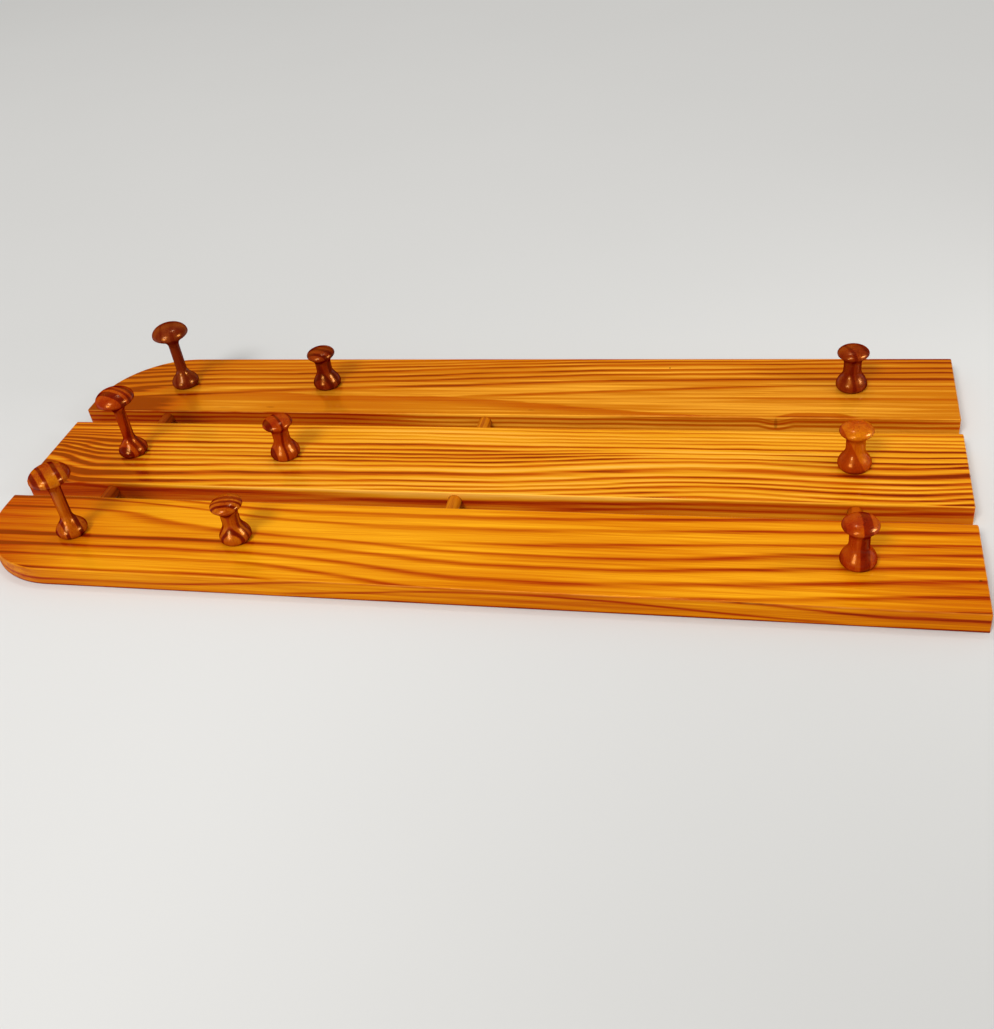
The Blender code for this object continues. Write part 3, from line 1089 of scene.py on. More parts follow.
def weigh_arrises(mesh: bpy.types.Mesh, back: float, back_share: float) -> None:
    """Marks a prism's sharp edges for rounding.

    Args:
        mesh: The prism's mesh.
        back: The height of its back face.
        back_share: The share of the full rounding that the edges of the back face have.
    """
    bm = bmesh.new()
    bm.from_mesh(mesh)
    layer = bm.edges.layers.float.new("bevel_weight_edge")
    for edge in bm.edges:
        if edge.calc_face_angle() > ARRIS_ANGLE:
            at_back = all(abs(vert.co.z - back) < MERGE_DISTANCE for vert in edge.verts)
            edge[layer] = back_share if at_back else 1.0
    bm.to_mesh(mesh)
    bm.free()


def round_arrises(piece: bpy.types.Object, radius: float, segments: int) -> None:
    """Rounds a piece's marked edges.

    Args:
        piece: The piece.
        radius: The radius at full rounding.
        segments: How many straight steps the rounding has.
    """
    bevel = piece.modifiers.new("arris", "BEVEL")
    bevel.width = radius
    bevel.segments = segments
    bevel.limit_method = "WEIGHT"


def arc(centre: Point, radius: float, start: float, end: float, segments: int) -> list[Point]:
    """Points along a circular arc between two directions in degrees, with both ends."""
    angles = [math.radians(start + (end - start) * step / segments) for step in range(segments + 1)]
    return [(centre[0] + radius * math.cos(a), centre[1] + radius * math.sin(a)) for a in angles]


def stadium(reach: float, width: float, segments: int) -> list[Point]:
    """Outline of a slot along X, with the centres of its round ends at the reach to either side."""
    last = arc((reach, 0.0), width / 2, -90, 90, segments)
    return last + arc((-reach, 0.0), width / 2, 90, 270, segments)


def bezier(knots: Sequence[Point], segments: int) -> list[Point]:
    """Points along a Bezier curve of a start, two handles and an end, without the first point."""
    vectors = [Vector((*knot, 0.0)) for knot in knots]
    return [(point.x, point.y) for point in interpolate_bezier(*vectors, segments + 1)[1:]]


def cylinder_profile(radius: float, bottom: float, top: float, chamfer: float = 0.0) -> list[Point]:
    """Profile of a cylinder about Z.

    Args:
        radius: Its radius.
        bottom: The height of its lower end.
        top: The height of its upper end.
        chamfer: The chamfer at both ends.

    Returns:
        Points of radius and height, from the top down.
    """
    rim = [(radius - chamfer, top), (radius, top - chamfer)] if chamfer else [(radius, top)]
    foot = [(radius, bottom + chamfer), (radius - chamfer, bottom)] if chamfer else [(radius, bottom)]
    return [(0.0, top), *rim, *foot, (0.0, bottom)]


def new_object(name: str, mesh: bpy.types.Mesh, place: Place = (0.0, 0.0, 0.0)) -> bpy.types.Object:
    """Links a mesh into the scene.

    Args:
        name: The object's name.
        mesh: Its mesh, which is moved to the place, so that the object sits at the origin.
        place: Where the mesh's own origin goes.

    Returns:
        The object.
    """
    mesh.transform(Matrix.Translation(place))
    piece = bpy.data.objects.new(name, mesh)
    bpy.context.scene.collection.objects.link(piece)
    return piece


def cut_piece(piece: bpy.types.Object, cutters: Sequence[bpy.types.Object]) -> None:
    """Takes cutters away from a piece for good, with the piece's other modifiers, and removes them.

    Args:
        piece: The piece.
        cutters: The solids that are taken away.
    """
    for cutter in cutters:
        modifier = piece.modifiers.new(cutter.name, "BOOLEAN")
        modifier.operation = "DIFFERENCE"
        modifier.solver = "EXACT"
        modifier.object = cutter
    settled = piece.evaluated_get(bpy.context.evaluated_depsgraph_get())
    mesh = bpy.data.meshes.new_from_object(settled)
    piece.modifiers.clear()
    piece.data = mesh
    shade_round(mesh)
    for cutter in cutters:
        bpy.data.objects.remove(cutter, do_unlink=True)


def even_normals(piece: bpy.types.Object) -> None:
    """Keeps flat faces flat in the shading where they meet rounded edges."""
    modifier = piece.modifiers.new("even_normals", "WEIGHTED_NORMAL")
    modifier.keep_sharp = True


def hand_over(piece: bpy.types.Object, node: str, finish: bpy.types.Material) -> None:
    """Dresses a piece and puts it in the place of a CAD node.

    Args:
        piece: The piece.
        node: The node that it stands for.
        finish: Its material.
    """
    piece.data.materials.clear()
    piece.data.materials.append(finish)
    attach(piece, BODY)
    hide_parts(node)
    log.info("%s stands for %s, %d faces", piece.name, node, len(piece.data.polygons))


def node_middle(node: str) -> Vector:
    """The middle of a CAD node's box."""
    low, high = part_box(node)
    return (low + high) / 2


def node_foot(node: str) -> Vector:
    """The middle of the lower face of a CAD node's box."""
    middle = node_middle(node)
    return Vector((middle.x, middle.y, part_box(node)[0].z))


@dataclass(frozen=True)
class PegTenon:
    """The round tenon under a peg and the blind hole that it is glued into."""

    diameter: float = 12 * MM
    chamfer: float = 1 * MM
    hole_floor: float = 6 * MM
    clearance: float = 0.3 * MM
    sides: int = 32


@dataclass(frozen=True)
class HangerCut:
    """What is cut out of a board's back for a keyhole plate and its screws."""

    plate_length: float = 56 * MM
    plate_width: float = 22 * MM
    recess_depth: float = 2.3 * MM
    keyhole_drop: float = 11 * MM
    pocket_width: float = 14 * MM
    pocket_depth: float = 8 * MM
    clearance: float = 0.3 * MM
    overrun: float = 2 * MM
    segments: int = 20

    def plate_outline(self, clearance: float = 0.0) -> list[Point]:
        """The plate's outline, widened by a clearance for its recess."""
        reach = (self.plate_length - self.plate_width) / 2
        return stadium(reach, self.plate_width + 2 * clearance, self.segments)

    def keyhole_outline(self, width: float) -> list[Point]:
        """The outline of a slot of that width along the keyhole's drop."""
        return stadium(self.keyhole_drop / 2, width, self.segments)


@dataclass
class Board:
    """One planed board, with rounded arrises and the holes for what is let into it."""

    side: Side
    finish: LacqueredPine
    tenon: PegTenon
    hanger_cut: HangerCut
    top_corner_radius: float = 100 * MM
    arris_radius: float = 2 * MM
    arris_segments: int = 6
    back_arris_share: float = 0.2
    corner_segments: int = 40
    dowel_insertion: float = 30.3 * MM
    dowel_hole_radius: float = 7.3 * MM
    overrun: float = 2 * MM
    sides: int = 32
    node: str = field(init=False)
    low: Vector = field(init=False)
    high: Vector = field(init=False)

    def __post_init__(self) -> None:
        """Takes the board's place and size from its node."""
        self.node = f"board_{self.side.label}"
        self.low, self.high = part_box(self.node)

    @property
    def centre_line(self) -> float:
        """The board's middle, across the rack."""
        return (self.low.y + self.high.y) / 2

    def outline(self) -> list[Point]:
        """The board's outline, with the top corner on the outer side of an outer board rounded.

        Returns:
            Points of X and Y.
        """
        radius = self.top_corner_radius
        points = [(self.high.x, self.low.y), (self.high.x, self.high.y)]
        if self.side is Side.RIGHT:
            centre = (self.low.x + radius, self.high.y - radius)
            points += arc(centre, radius, 90, 180, self.corner_segments)
        else:
            points.append((self.low.x, self.high.y))
        if self.side is Side.LEFT:
            centre = (self.low.x + radius, self.low.y + radius)
            points += arc(centre, radius, 180, 270, self.corner_segments)
        else:
            points.append((self.low.x, self.low.y))
        return points

    def peg_holes(self) -> list[bpy.types.Object]:
        """Makes cutters of the blind holes for the board's pegs.

        Returns:
            The cutters.
        """
        profile = cylinder_profile(
            self.tenon.diameter / 2 + self.tenon.clearance,
            self.tenon.hole_floor,
            self.high.z + self.overrun,
        )
        cutters = []
        for row in PegRow:
            place = node_middle(f"{row.value}_{self.side.label}")
            mesh = turned_mesh("peg_hole", profile, self.tenon.sides)
            cutters.append(new_object(f"peg_hole_{row.value}", mesh, (place.x, place.y, 0.0)))
        return cutters

    def dowel_holes(self) -> list[bpy.types.Object]:
        """Makes cutters of the blind holes for the dowels in the board's edges.

        Returns:
            The cutters.
        """
        cutters = []
        profile = cylinder_profile(self.dowel_hole_radius, -self.overrun, self.dowel_insertion)
        gaps = OUTER_SIDES if self.side is Side.MIDDLE else (Side(-self.side.value),)
        for gap in gaps:
            edge = self.high.y if gap is Side.RIGHT else self.low.y
            gap_name = gap.label if self.side is Side.MIDDLE else self.side.label
            for row in DowelRow:
                middle = node_middle(f"dowel_{row.value}_{gap_name}")
                mesh = turned_mesh("dowel_hole", profile, self.sides)
                mesh.transform(Matrix.Rotation(gap.value * math.pi / 2, 4, "X"))
                place = (middle.x, edge, middle.z)
                cutters.append(new_object(f"dowel_hole_{row.value}_{gap_name}", mesh, place))
        return cutters

    def hanger_cuts(self) -> list[bpy.types.Object]:
        """Makes cutters of the recess, the pocket and the screw holes behind the board.

        Returns:
            The cutters.
        """
        cut = self.hanger_cut
        plate = node_middle(f"hanger_plate_{self.side.label}")
        place = (plate.x, plate.y, 0.0)
        floor = cut.recess_depth + cut.pocket_depth
        recess = prism_mesh("recess", cut.plate_outline(cut.clearance), -cut.overrun, cut.recess_depth)
        pocket = prism_mesh("pocket", cut.keyhole_outline(cut.pocket_width), -cut.overrun, floor)
        return [
            new_object("recess", recess, place),
            new_object("pocket", pocket, place),
            *HangerScrew.holes(self.side, cut.clearance, self.sides),
        ]

    def build(self) -> bpy.types.Object:
        """Makes the board and puts it in its node's place.

        Returns:
            The board.
        """
        mesh = prism_mesh(f"pine_{self.node}", self.outline(), self.low.z, self.high.z)
        piece = new_object(f"pine_{self.node}", mesh)
        weigh_arrises(mesh, self.low.z, self.back_arris_share)
        round_arrises(piece, self.arris_radius, self.arris_segments)
        cutters = self.peg_holes() + self.dowel_holes()
        if self.side is not Side.MIDDLE:
            cutters += self.hanger_cuts()
        cut_piece(piece, cutters)
        even_normals(piece)
        back = Vector((0.0, self.centre_line, self.low.z))
        material = self.finish.material(back, self.high.z - self.low.z)
        hand_over(piece, self.node, material)
        return piece


@dataclass(frozen=True)
class PegShape:
    """The turned form of a peg. Heights are above its foot.

    The neck is straight from its own height down to the flare height, where it starts to widen to the base.
    """

    neck_diameter: float
    neck_height: float
    flare_height: float
    head_diameter: float
    rim_height: float
    crown: float
    shoulder: float
    taper: float
    foot_diameter: float = 28 * MM
    base_diameter: float = 32.6 * MM
    base_height: float = 4.5 * MM
    undercut: float = 0.60
    rim_fullness: float = 0.25
    crown_segments: int = 14
    underside_segments: int = 22
    bell_segments: int = 26
    foot_segments: int = 8

    def profile(self, tenon: PegTenon, tenon_length: float) -> list[Point]:
        """The peg's profile.

        Args:
            tenon: The tenon under the peg.
            tenon_length: How far the tenon reaches below the foot.

        Returns:
            Points of radius and height, from the crown to the end of the tenon.
        """
        top = (0.0, self.rim_height + self.crown)
        rim = (self.head_diameter / 2, self.rim_height)
        neck = (self.neck_diameter / 2, self.neck_height)
        flare = (self.neck_diameter / 2, self.flare_height)
        straight_neck = [flare] if self.flare_height < self.neck_height else []
        base = (self.base_diameter / 2, self.base_height)
        foot = (self.foot_diameter / 2, 0.0)
        full = QUARTER_ELLIPSE_FULLNESS
        crown_handles = ((rim[0] * full, top[1]), (rim[0], rim[1] + self.crown * full))
        base_handle = (base[0], base[1] * (1 - full))
        radius = tenon.diameter / 2
        return [
            top,
            *bezier((top, *crown_handles, rim), self.crown_segments),
            *self._upright(rim, neck, self.rim_fullness, self.undercut, self.underside_segments),
            *straight_neck,
            *self._upright(flare, base, self.taper, self.shoulder, self.bell_segments),
            *bezier((base, base_handle, foot, foot), self.foot_segments),
            (radius, 0.0),
            (radius, tenon.chamfer - tenon_length),
            (radius - tenon.chamfer, -tenon_length),
            (0.0, -tenon_length),
        ]

    @staticmethod
    def _upright(start: Point, end: Point, leaves: float, arrives: float, segments: int) -> list[Point]:
        """An S-shaped stretch of profile that leaves both of its ends along the axis.

        Args:
            start: Its first point.
            end: Its last point.
            leaves: How far it keeps to the axis at its start, as a share of its height.
            arrives: How far it keeps to the axis at its end.
            segments: How many straight steps it has.

        Returns:
            The points, without the first.
        """
        rise = end[1] - start[1]
        handles = ((start[0], start[1] + rise * leaves), (end[0], end[1] - rise * arrives))
        return bezier((start, *handles, end), segments)


@dataclass
class Peg:
    """One turned peg in a board."""

    row: PegRow
    side: Side
    shape: PegShape
    finish: LacqueredPeg
    tenon: PegTenon
    sides: int = 72

    @property
    def node(self) -> str:
        """The peg's CAD node."""
        return f"{self.row.value}_{self.side.label}"

    def build(self) -> bpy.types.Object:
        """Turns the peg and puts it in its node's place.

        Returns:
            The peg.
        """
        low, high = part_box(self.node)
        middle = (low + high) / 2
        foot = Vector((middle.x, middle.y, high.z - self.shape.rim_height - self.shape.crown))
        profile = self.shape.profile(self.tenon, foot.z - low.z)
        mesh = turned_mesh(f"turned_{self.node}", profile, self.sides)
        piece = new_object(f"turned_{self.node}", mesh, tuple(foot))
        hand_over(piece, self.node, self.finish.material(f"lacquered_{self.node}", foot))
        return piece


@dataclass
class Dowel:
    """One round dowel across a gap."""

    row: DowelRow
    side: Side
    finish: DowelWood
    seed: float
    chamfer: float = 1.5 * MM
    sides: int = 48

    @property
    def node(self) -> str:
        """The dowel's CAD node."""
        return f"dowel_{self.row.value}_{self.side.label}"

    def build(self) -> bpy.types.Object:
        """Makes the dowel and puts it in its node's place.

        Returns:
            The dowel.
        """
        low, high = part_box(self.node)
        middle = (low + high) / 2
        half = (high.y - low.y) / 2
        profile = cylinder_profile((high.z - low.z) / 2, -half, half, self.chamfer)
        mesh = turned_mesh(f"wood_{self.node}", profile, self.sides)
        mesh.transform(Matrix.Rotation(math.pi / 2, 4, "X"))
        piece = new_object(f"wood_{self.node}", mesh, tuple(middle))
        even_normals(piece)
        hand_over(piece, self.node, self.finish.material(f"satin_{self.node}", middle, self.seed))
        return piece


@dataclass
class HangerScrew:
    """One countersunk screw of a hanger plate, head down."""

    end: ScrewEnd
    side: Side
    finish: ZincPlating
    slot_width: float = 0.9 * MM
    slot_depth: float = 0.8 * MM
    sides: int = 48

    HEAD_RADIUS = 3.5 * MM
    SHANK_RADIUS = 1.75 * MM
    LENGTH = 13 * MM
    POINT = 3 * MM
    SLOT_REACH = 1.2

    @classmethod
    def profile(cls, clearance: float = 0.0) -> list[Point]:
        """Profile of the screw or, with a clearance, of its hole.

        Args:
            clearance: How much wider and deeper the hole is than the screw.

        Returns:
            Points of radius and height, from the point to the head.
        """
        head = cls.HEAD_RADIUS + clearance
        shank = cls.SHANK_RADIUS + clearance
        return [
            (0.0, cls.LENGTH + clearance),
            (shank, cls.LENGTH - cls.POINT + clearance),
            (shank, head - shank),
            (head, 0.0),
            (0.0, 0.0),
        ]

    @classmethod
    def holes(cls, side: Side, clearance: float, sides: int) -> list[bpy.types.Object]:
        """Makes cutters of the holes for the two screws on one side of the rack.

        Args:
            side: The side.
            clearance: How much wider and deeper the holes are than the screws.
            sides: How many steps their turn has.

        Returns:
            The cutters.
        """
        cutters = []
        for end in ScrewEnd:
            foot = node_foot(f"hanger_screw_{end.value}_{side.label}")
            mesh = turned_mesh("screw_hole", cls.profile(clearance), sides)
            cutters.append(new_object(f"screw_hole_{end.value}", mesh, tuple(foot)))
        return cutters

    @property
    def node(self) -> str:
        """The screw's CAD node."""
        return f"hanger_screw_{self.end.value}_{self.side.label}"

    def build(self) -> bpy.types.Object:
        """Makes the screw and puts it in its node's place.

        Returns:
            The screw.
        """
        foot = node_foot(self.node)
        mesh = turned_mesh(f"zinc_{self.node}", self.profile(), self.sides)
        piece = new_object(f"zinc_{self.node}", mesh, tuple(foot))
        half = self.slot_width / 2
        reach = self.HEAD_RADIUS * self.SLOT_REACH
        outline = [(-reach, -half), (reach, -half), (reach, half), (-reach, half)]
        slot = prism_mesh("slot", outline, -self.slot_depth, self.slot_depth)
        cut_piece(piece, [new_object("slot", slot, tuple(foot))])
        hand_over(piece, self.node, self.finish.material(f"plated_{self.node}", foot))
        return piece


@dataclass
class HangerPlate:
    """One keyhole plate, let into the back of an outer board."""

    side: Side
    finish: ZincPlating
    cut: HangerCut
    entry_diameter: float = 11 * MM
    slot_width: float = 5.5 * MM
    edge_radius: float = 0.4 * MM
    edge_segments: int = 3
    sides: int = 48

    @property
    def node(self) -> str:
        """The plate's CAD node."""
        return f"hanger_plate_{self.side.label}"

    def build(self) -> bpy.types.Object:
        """Makes the plate and puts it in its node's place.

        Returns:
            The plate.
        """
        low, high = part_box(self.node)
        middle = (low + high) / 2
        mesh = prism_mesh(f"zinc_{self.node}", self.cut.plate_outline(), low.z, high.z)
        piece = new_object(f"zinc_{self.node}", mesh, (middle.x, middle.y, 0.0))
        weigh_arrises(mesh, low.z, 1.0)
        round_arrises(piece, self.edge_radius, self.edge_segments)
        cut_piece(piece, self._holes(middle, high.z))
        even_normals(piece)
        hand_over(piece, self.node, self.finish.material(f"plated_{self.node}", middle))
        return piece

    def _holes(self, middle: Vector, top: float) -> list[bpy.types.Object]:
        """Makes cutters of the keyhole and of the countersunk holes.

        Args:
            middle: The middle of the plate.
            top: The height of its upper face.

        Returns:
            The cutters.
        """
        low = -self.cut.overrun
        high = top + self.cut.overrun
        entry = turned_mesh("entry", cylinder_profile(self.entry_diameter / 2, low, high), self.sides)
        slot = prism_mesh("slot", self.cut.keyhole_outline(self.slot_width), low, high)
        return [
            new_object("entry", entry, (middle.x + self.cut.keyhole_drop / 2, middle.y, 0.0)),
            new_object("slot", slot, (middle.x, middle.y, 0.0)),
            *HangerScrew.holes(self.side, self.cut.clearance, self.sides),
        ]


@dataclass(frozen=True)
class SoftLight:
    """A square soft light that faces a point of the rack.

    Spread is the angle that it shines over, in degrees. A light that is only mirrored shows in the gloss of
    the pegs alone.
    """

    name: str
    place: Place
    size: float
    power: float
    target: Place = (0.0, 0.0, 0.0)
    colour: Colour = (1.0, 1.0, 1.0)
    spread: float = 180.0
    only_mirrored: bool = False

    def build(self, pegs: bpy.types.Collection) -> None:
        """Makes the light.

        Args:
            pegs: What mirrors a light that is only mirrored.
        """
        data = bpy.data.lights.new(self.name, "AREA")
        data.shape = "SQUARE"
        data.size = self.size
        data.energy = self.power
        data.color = self.colour
        data.spread = math.radians(self.spread)
        lamp = bpy.data.objects.new(self.name, data)
        bpy.context.scene.collection.objects.link(lamp)
        if self.only_mirrored:
            lamp.visible_diffuse = False
            lamp.light_linking.receiver_collection = pegs
        lamp.location = self.place
        lamp.rotation_euler = (Vector(self.target) - Vector(self.place)).to_track_quat("-Z", "Y").to_euler()


@dataclass(frozen=True)
class Viewpoint:
    """The camera: where it stands, which way it is turned, and its field of view."""

    place: Place = (0.33324, -0.97246, 0.72199)
    right: Place = (0.9699038, 0.2087708, -0.1253050)
    down: Place = (0.0312752, -0.6171787, -0.7862012)
    focal_pixels: float = 1171.59
    image_height: float = 1029.0
    sensor: float = 36.0
    clip_start: float = 10 * MM

    def build(self) -> None:
        """Makes the camera and gives it to the scene."""
        data = bpy.data.cameras.new("viewpoint")
        data.sensor_width = self.sensor
        data.lens = self.focal_pixels * self.sensor / self.image_height
        data.clip_start = self.clip_start
        camera = bpy.data.objects.new("viewpoint", data)
        bpy.context.scene.collection.objects.link(camera)
        right = Vector(self.right).normalized()
        up = -Vector(self.down).normalized()
        back = right.cross(up)
        turned = Matrix((right, up, back)).transposed().to_4x4()
        camera.matrix_world = Matrix.Translation(self.place) @ turned
        bpy.context.scene.camera = camera


@dataclass(frozen=True)
class Room:
    """The room round the rack: pale walls that light it, and the warm tones that its gloss mirrors.

    The gloss mirrors a glow towards one direction, behind the rack and to its left, and dim brown elsewhere.
    """

    walls: Colour
    mirrored: Colour
    glow: Colour
    glow_direction: Place = (-0.57, 0.82, 0.0)
    glow_start: float = 0.45
    glow_full: float = 0.85

    def build(self) -> None:
        """Makes the room and gives it to the scene."""
        world = bpy.data.worlds.new("room")
        world.cycles.sampling_method = "NONE"
        sheet = NodeSheet(world)
        direction = sheet.signal("ShaderNodeTexCoord", {}, {}, "Generated")
        towards = {0: direction, 1: self.glow_direction}
        nearness = sheet.signal("ShaderNodeVectorMath", {"operation": "DOT_PRODUCT"}, towards, "Value")
        mirrored = sheet.mix(nearness.smooth(self.glow_start, self.glow_full), self.mirrored, self.glow)
        glossy = sheet.signal("ShaderNodeLightPath", {}, {}, "Is Glossy Ray")
        colour = sheet.mix(glossy, self.walls, mirrored)
        light = sheet.signal("ShaderNodeBackground", {}, {"Color": colour, "Strength": 1.0})
        sheet.add("ShaderNodeOutputWorld", {}, {"Surface": light})
        bpy.context.scene.world = world


@dataclass(frozen=True)
class Studio:
    """The pale floor, the soft lights, the bright room and the camera."""

    lights: tuple[SoftLight, ...]
    viewpoint: Viewpoint
    floor: FloorPaint
    room: Room
    floor_size: float = 14.0
    floor_drop: float = 0.3 * MM
    floor_segments: int = 8

    def build(self, pegs: bpy.types.Collection) -> None:
        """Sets up everything round the rack.

        Args:
            pegs: The rack's pegs.
        """
        bm = bmesh.new()
        steps = self.floor_segments
        bmesh.ops.create_grid(bm, x_segments=steps, y_segments=steps, size=self.floor_size / 2)
        ground = new_object("pale_floor", mesh_from("pale_floor", bm), (0.0, 0.0, -self.floor_drop))
        ground.data.materials.append(self.floor.material())
        self.room.build()
        bpy.context.scene.view_settings.view_transform = "Standard"
        for light in self.lights:
            light.build(pegs)
        self.viewpoint.build()


KNOT_DIP = ((296.0, 316.0, -3.5), (318.0, 338.0, 3.5))
RIGHT_EDGE_DROP = (-190.0, -60.0, -3.0)

RIGHT_GRAIN = BoardGrain(
    lines=(
        GrainLine(-21.0, 4.6, 0.85, fade=(-70.0, 40.0)),
        GrainLine(3.5, 6.0, 1.00),
        GrainLine(17.2, 5.0, 0.95),
        GrainLine(27.4, 5.0, 1.00),
        GrainLine(39.2, 5.0, 1.00),
        GrainLine(47.0, 3.6, 0.85),
        GrainLine(53.0, 3.2, 0.70),
        GrainLine(60.0, 3.6, 0.75),
        GrainLine(67.0, 3.6, 0.75),
    ),
    drifts=(
        Drift(-330.0, 230.0, 24.0, 140.0, 20.0),
        Drift(150.0, 450.0, 4.0),
        Drift(-500.0, -340.0, 11.0, 70.0, 5.0),
        Drift(-370.0, -190.0, 9.0, -6.0, -18.0),
        Drift(40.0, 400.0, 14.0, 12.0, 0.0),
    ),
    level_lines=(GrainLine(-23.0, 4.0, 0.60, fade=(140.0, 400.0)),),
    edge_lines=(
        EdgeLine(19.0, 2.6, 0.75, (RIGHT_EDGE_DROP, *KNOT_DIP)),
        EdgeLine(13.0, 2.4, 0.70, (RIGHT_EDGE_DROP, *KNOT_DIP)),
        EdgeLine(7.0, 2.2, 0.50, (RIGHT_EDGE_DROP,), goes=(100.0, 220.0)),
        EdgeLine(19.4, 1.8, 0.50, KNOT_DIP, comes=(120.0, 220.0)),
        # Painted shade: a broad darkening of the edge towards the top end, for the shade and the pegs' dark
        # reflection there, not a grain line.
        EdgeLine(10.0, 24.0, 0.55, goes=(-200.0, -20.0)),
    ),
    edge_shade=-0.08,
    flames=(
        Flame(
            -31.0,
            ((-520.0, -300.0, 14.0), (-270.0, -190.0, -5.0), (-100.0, 270.0, -34.0)),
            comes=(-480.0, -400.0),
            goes=(230.0, 260.0),
            depth=0.55,
            hollow=0.75,
        ),
        # Partly a darker tongue of wood and partly a painted reflection of the middle hat peg's head, at the
        # top end.
        Flame(-31.0, ((-520.0, -300.0, 14.0),), comes=(-520.0, -510.0), goes=(-420.0, -330.0), depth=0.85),
        Flame(
            -62.0,
            ((300.0, 340.0, 12.0), (370.0, 420.0, -12.0)),
            comes=(290.0, 300.0),
            goes=(420.0, 430.0),
            depth=0.60,
        ),
    ),
    knots=(
        Knot((196.9, 39.0, 21.0), 2.4, 3.0),
        Knot((-320.0, -50.8, 21.0), 26.0, 1.4, 0.45),
        Knot((-262.0, -49.8, 21.0), 14.0, 2.2, 0.6),
        Knot((52.0, -50.7, 21.0), 10.0, 2.4, 0.4),
        Knot((317.0, -60.0, 13.0), 5.0, 17.0, 0.4),
    ),
    bottom_painted_shade=0.08,
    slope=1.0,
    bow=0.0,
    seed=300.0,
)

MIDDLE_GRAIN = BoardGrain(
    lines=(
        GrainLine(-74.0, 5.0, 0.78),
        GrainLine(-66.0, 4.8, 0.78),
        GrainLine(-57.0, 4.8, 0.80),
        GrainLine(-50.0, 4.4, 0.76),
        GrainLine(-41.0, 5.0, 0.84),
        GrainLine(-28.0, 8.2, 0.96),
        GrainLine(-15.2, 5.0, 0.88),
        GrainLine(-7.2, 4.4, 0.88),
        GrainLine(0.6, 4.2, 0.82, fade=(230.0, 140.0)),
        GrainLine(7.6, 4.0, 0.84),
        GrainLine(15.0, 4.0, 0.80, fade=(200.0, 110.0)),
        GrainLine(24.4, 5.0, 0.94),
        GrainLine(33.0, 3.0, 0.50),
        GrainLine(39.0, 3.0, 0.50),
        GrainLine(45.2, 3.0, 0.50),
        GrainLine(53.5, 3.2, 0.55),
        GrainLine(59.0, 3.0, 0.55),
    ),
    drifts=(
        Drift(-505.0, -425.0, -15.0, 40.0, 12.0),
        Drift(-350.0, 0.0, 5.0, 58.0, 8.0),
        Drift(-420.0, -220.0, 4.0, -8.0, -25.0),
        Drift(-250.0, 0.0, 4.0, -5.0, -60.0),
        Drift(0.0, 250.0, 17.0, 26.0, 6.0),
        Drift(290.0, 430.0, -5.0, 20.0, 6.0),
        Drift(440.0, 520.0, 6.0, 30.0, 6.0),
    ),
    edge_lines=(
        EdgeLine(19.0, 4.4, 0.34, ((-450.0, -365.0, -6.0), (-365.0, -140.0, 4.0)), goes=(-150.0, -60.0)),
        # Painted shadow: a broad darkening of the edge at the top end, where the upper dowel shades the gap,
        # not a grain line.
        EdgeLine(8.0, 14.0, 0.22, goes=(-220.0, -100.0)),
        EdgeLine(
            4.0,
            4.2,
            0.42,
            ((-220.0, -60.0, 4.6), (-60.0, 140.0, 3.1), (140.0, 260.0, 4.3), (380.0, 490.0, 2.4)),
            comes=(-280.0, -150.0),
        ),
        EdgeLine(2.0, 3.6, 0.50, ((85.0, 235.0, 6.0), (380.0, 490.0, 4.0)), comes=(50.0, 130.0)),
        # Painted highlight: a pale band along the top of the edge, for the bright arris highlight, not a
        # grain line.
        EdgeLine(22.0, 9.0, -0.90, ((-280.0, 0.0, -3.0), (80.0, 280.0, 5.0)), comes=(-420.0, -200.0)),
    ),
    edge_shade=0.34,
    top_painted_shade=0.35,
    bottom_painted_shade=0.12,
    slope=0.9,
    bow=0.008,
    seed=620.0,
)

LEFT_GRAIN = BoardGrain(
    lines=(
        GrainLine(-82.0, 5.6, 0.60),
        GrainLine(-61.0, 5.6, 0.65),
        GrainLine(-42.0, 6.0, 0.70),
        GrainLine(-23.0, 6.0, 0.72),
        GrainLine(-7.0, 5.4, 0.66),
        GrainLine(8.0, 4.4, 0.60, fade=(-40.0, 90.0)),
        GrainLine(28.6, 5.6, 0.66),
        GrainLine(47.8, 5.6, 0.66),
        GrainLine(66.0, 5.6, 0.60),
    ),
    drifts=(
        Drift(-215.0, 55.0, -20.0, lean=4.0),
        Drift(-215.0, 55.0, -8.0, -5.0, -40.0),
        Drift(20.0, 200.0, 5.0, -5.0, 10.0),
        Drift(140.0, 560.0, 26.0, 140.0, -20.0),
        Drift(-440.0, -160.0, -38.0, 0.0, 38.0),
        Drift(-440.0, -160.0, 26.0, 34.0, 54.0),
    ),
    edge_lines=(
        EdgeLine(8.0, 2.6, 0.50, ((-290.0, -60.0, 13.0),)),
        EdgeLine(
            4.0,
            2.4,
            0.50,
            ((-160.0, 60.0, 12.8), (110.0, 370.0, -13.5)),
            comes=(-160.0, -110.0),
            goes=(350.0, 390.0),
        ),
        EdgeLine(20.5, 2.8, 0.55, ((280.0, 430.0, -8.5),), comes=(270.0, 300.0)),
        # Painted shadow: a dark line at the foot of the near edge, for the contact shadow where the board
        # meets the floor.
        EdgeLine(0.0, 2.4, 0.85),
    ),
    edge_shade=0.15,
    knots=(Knot((494.0, -18.2, 21.0), 4.0, 2.4),),
    top_painted_shade=0.44,
    bottom_painted_shade=0.22,
    slope=1.6,
    bow=0.0,
    seed=40.0,
)

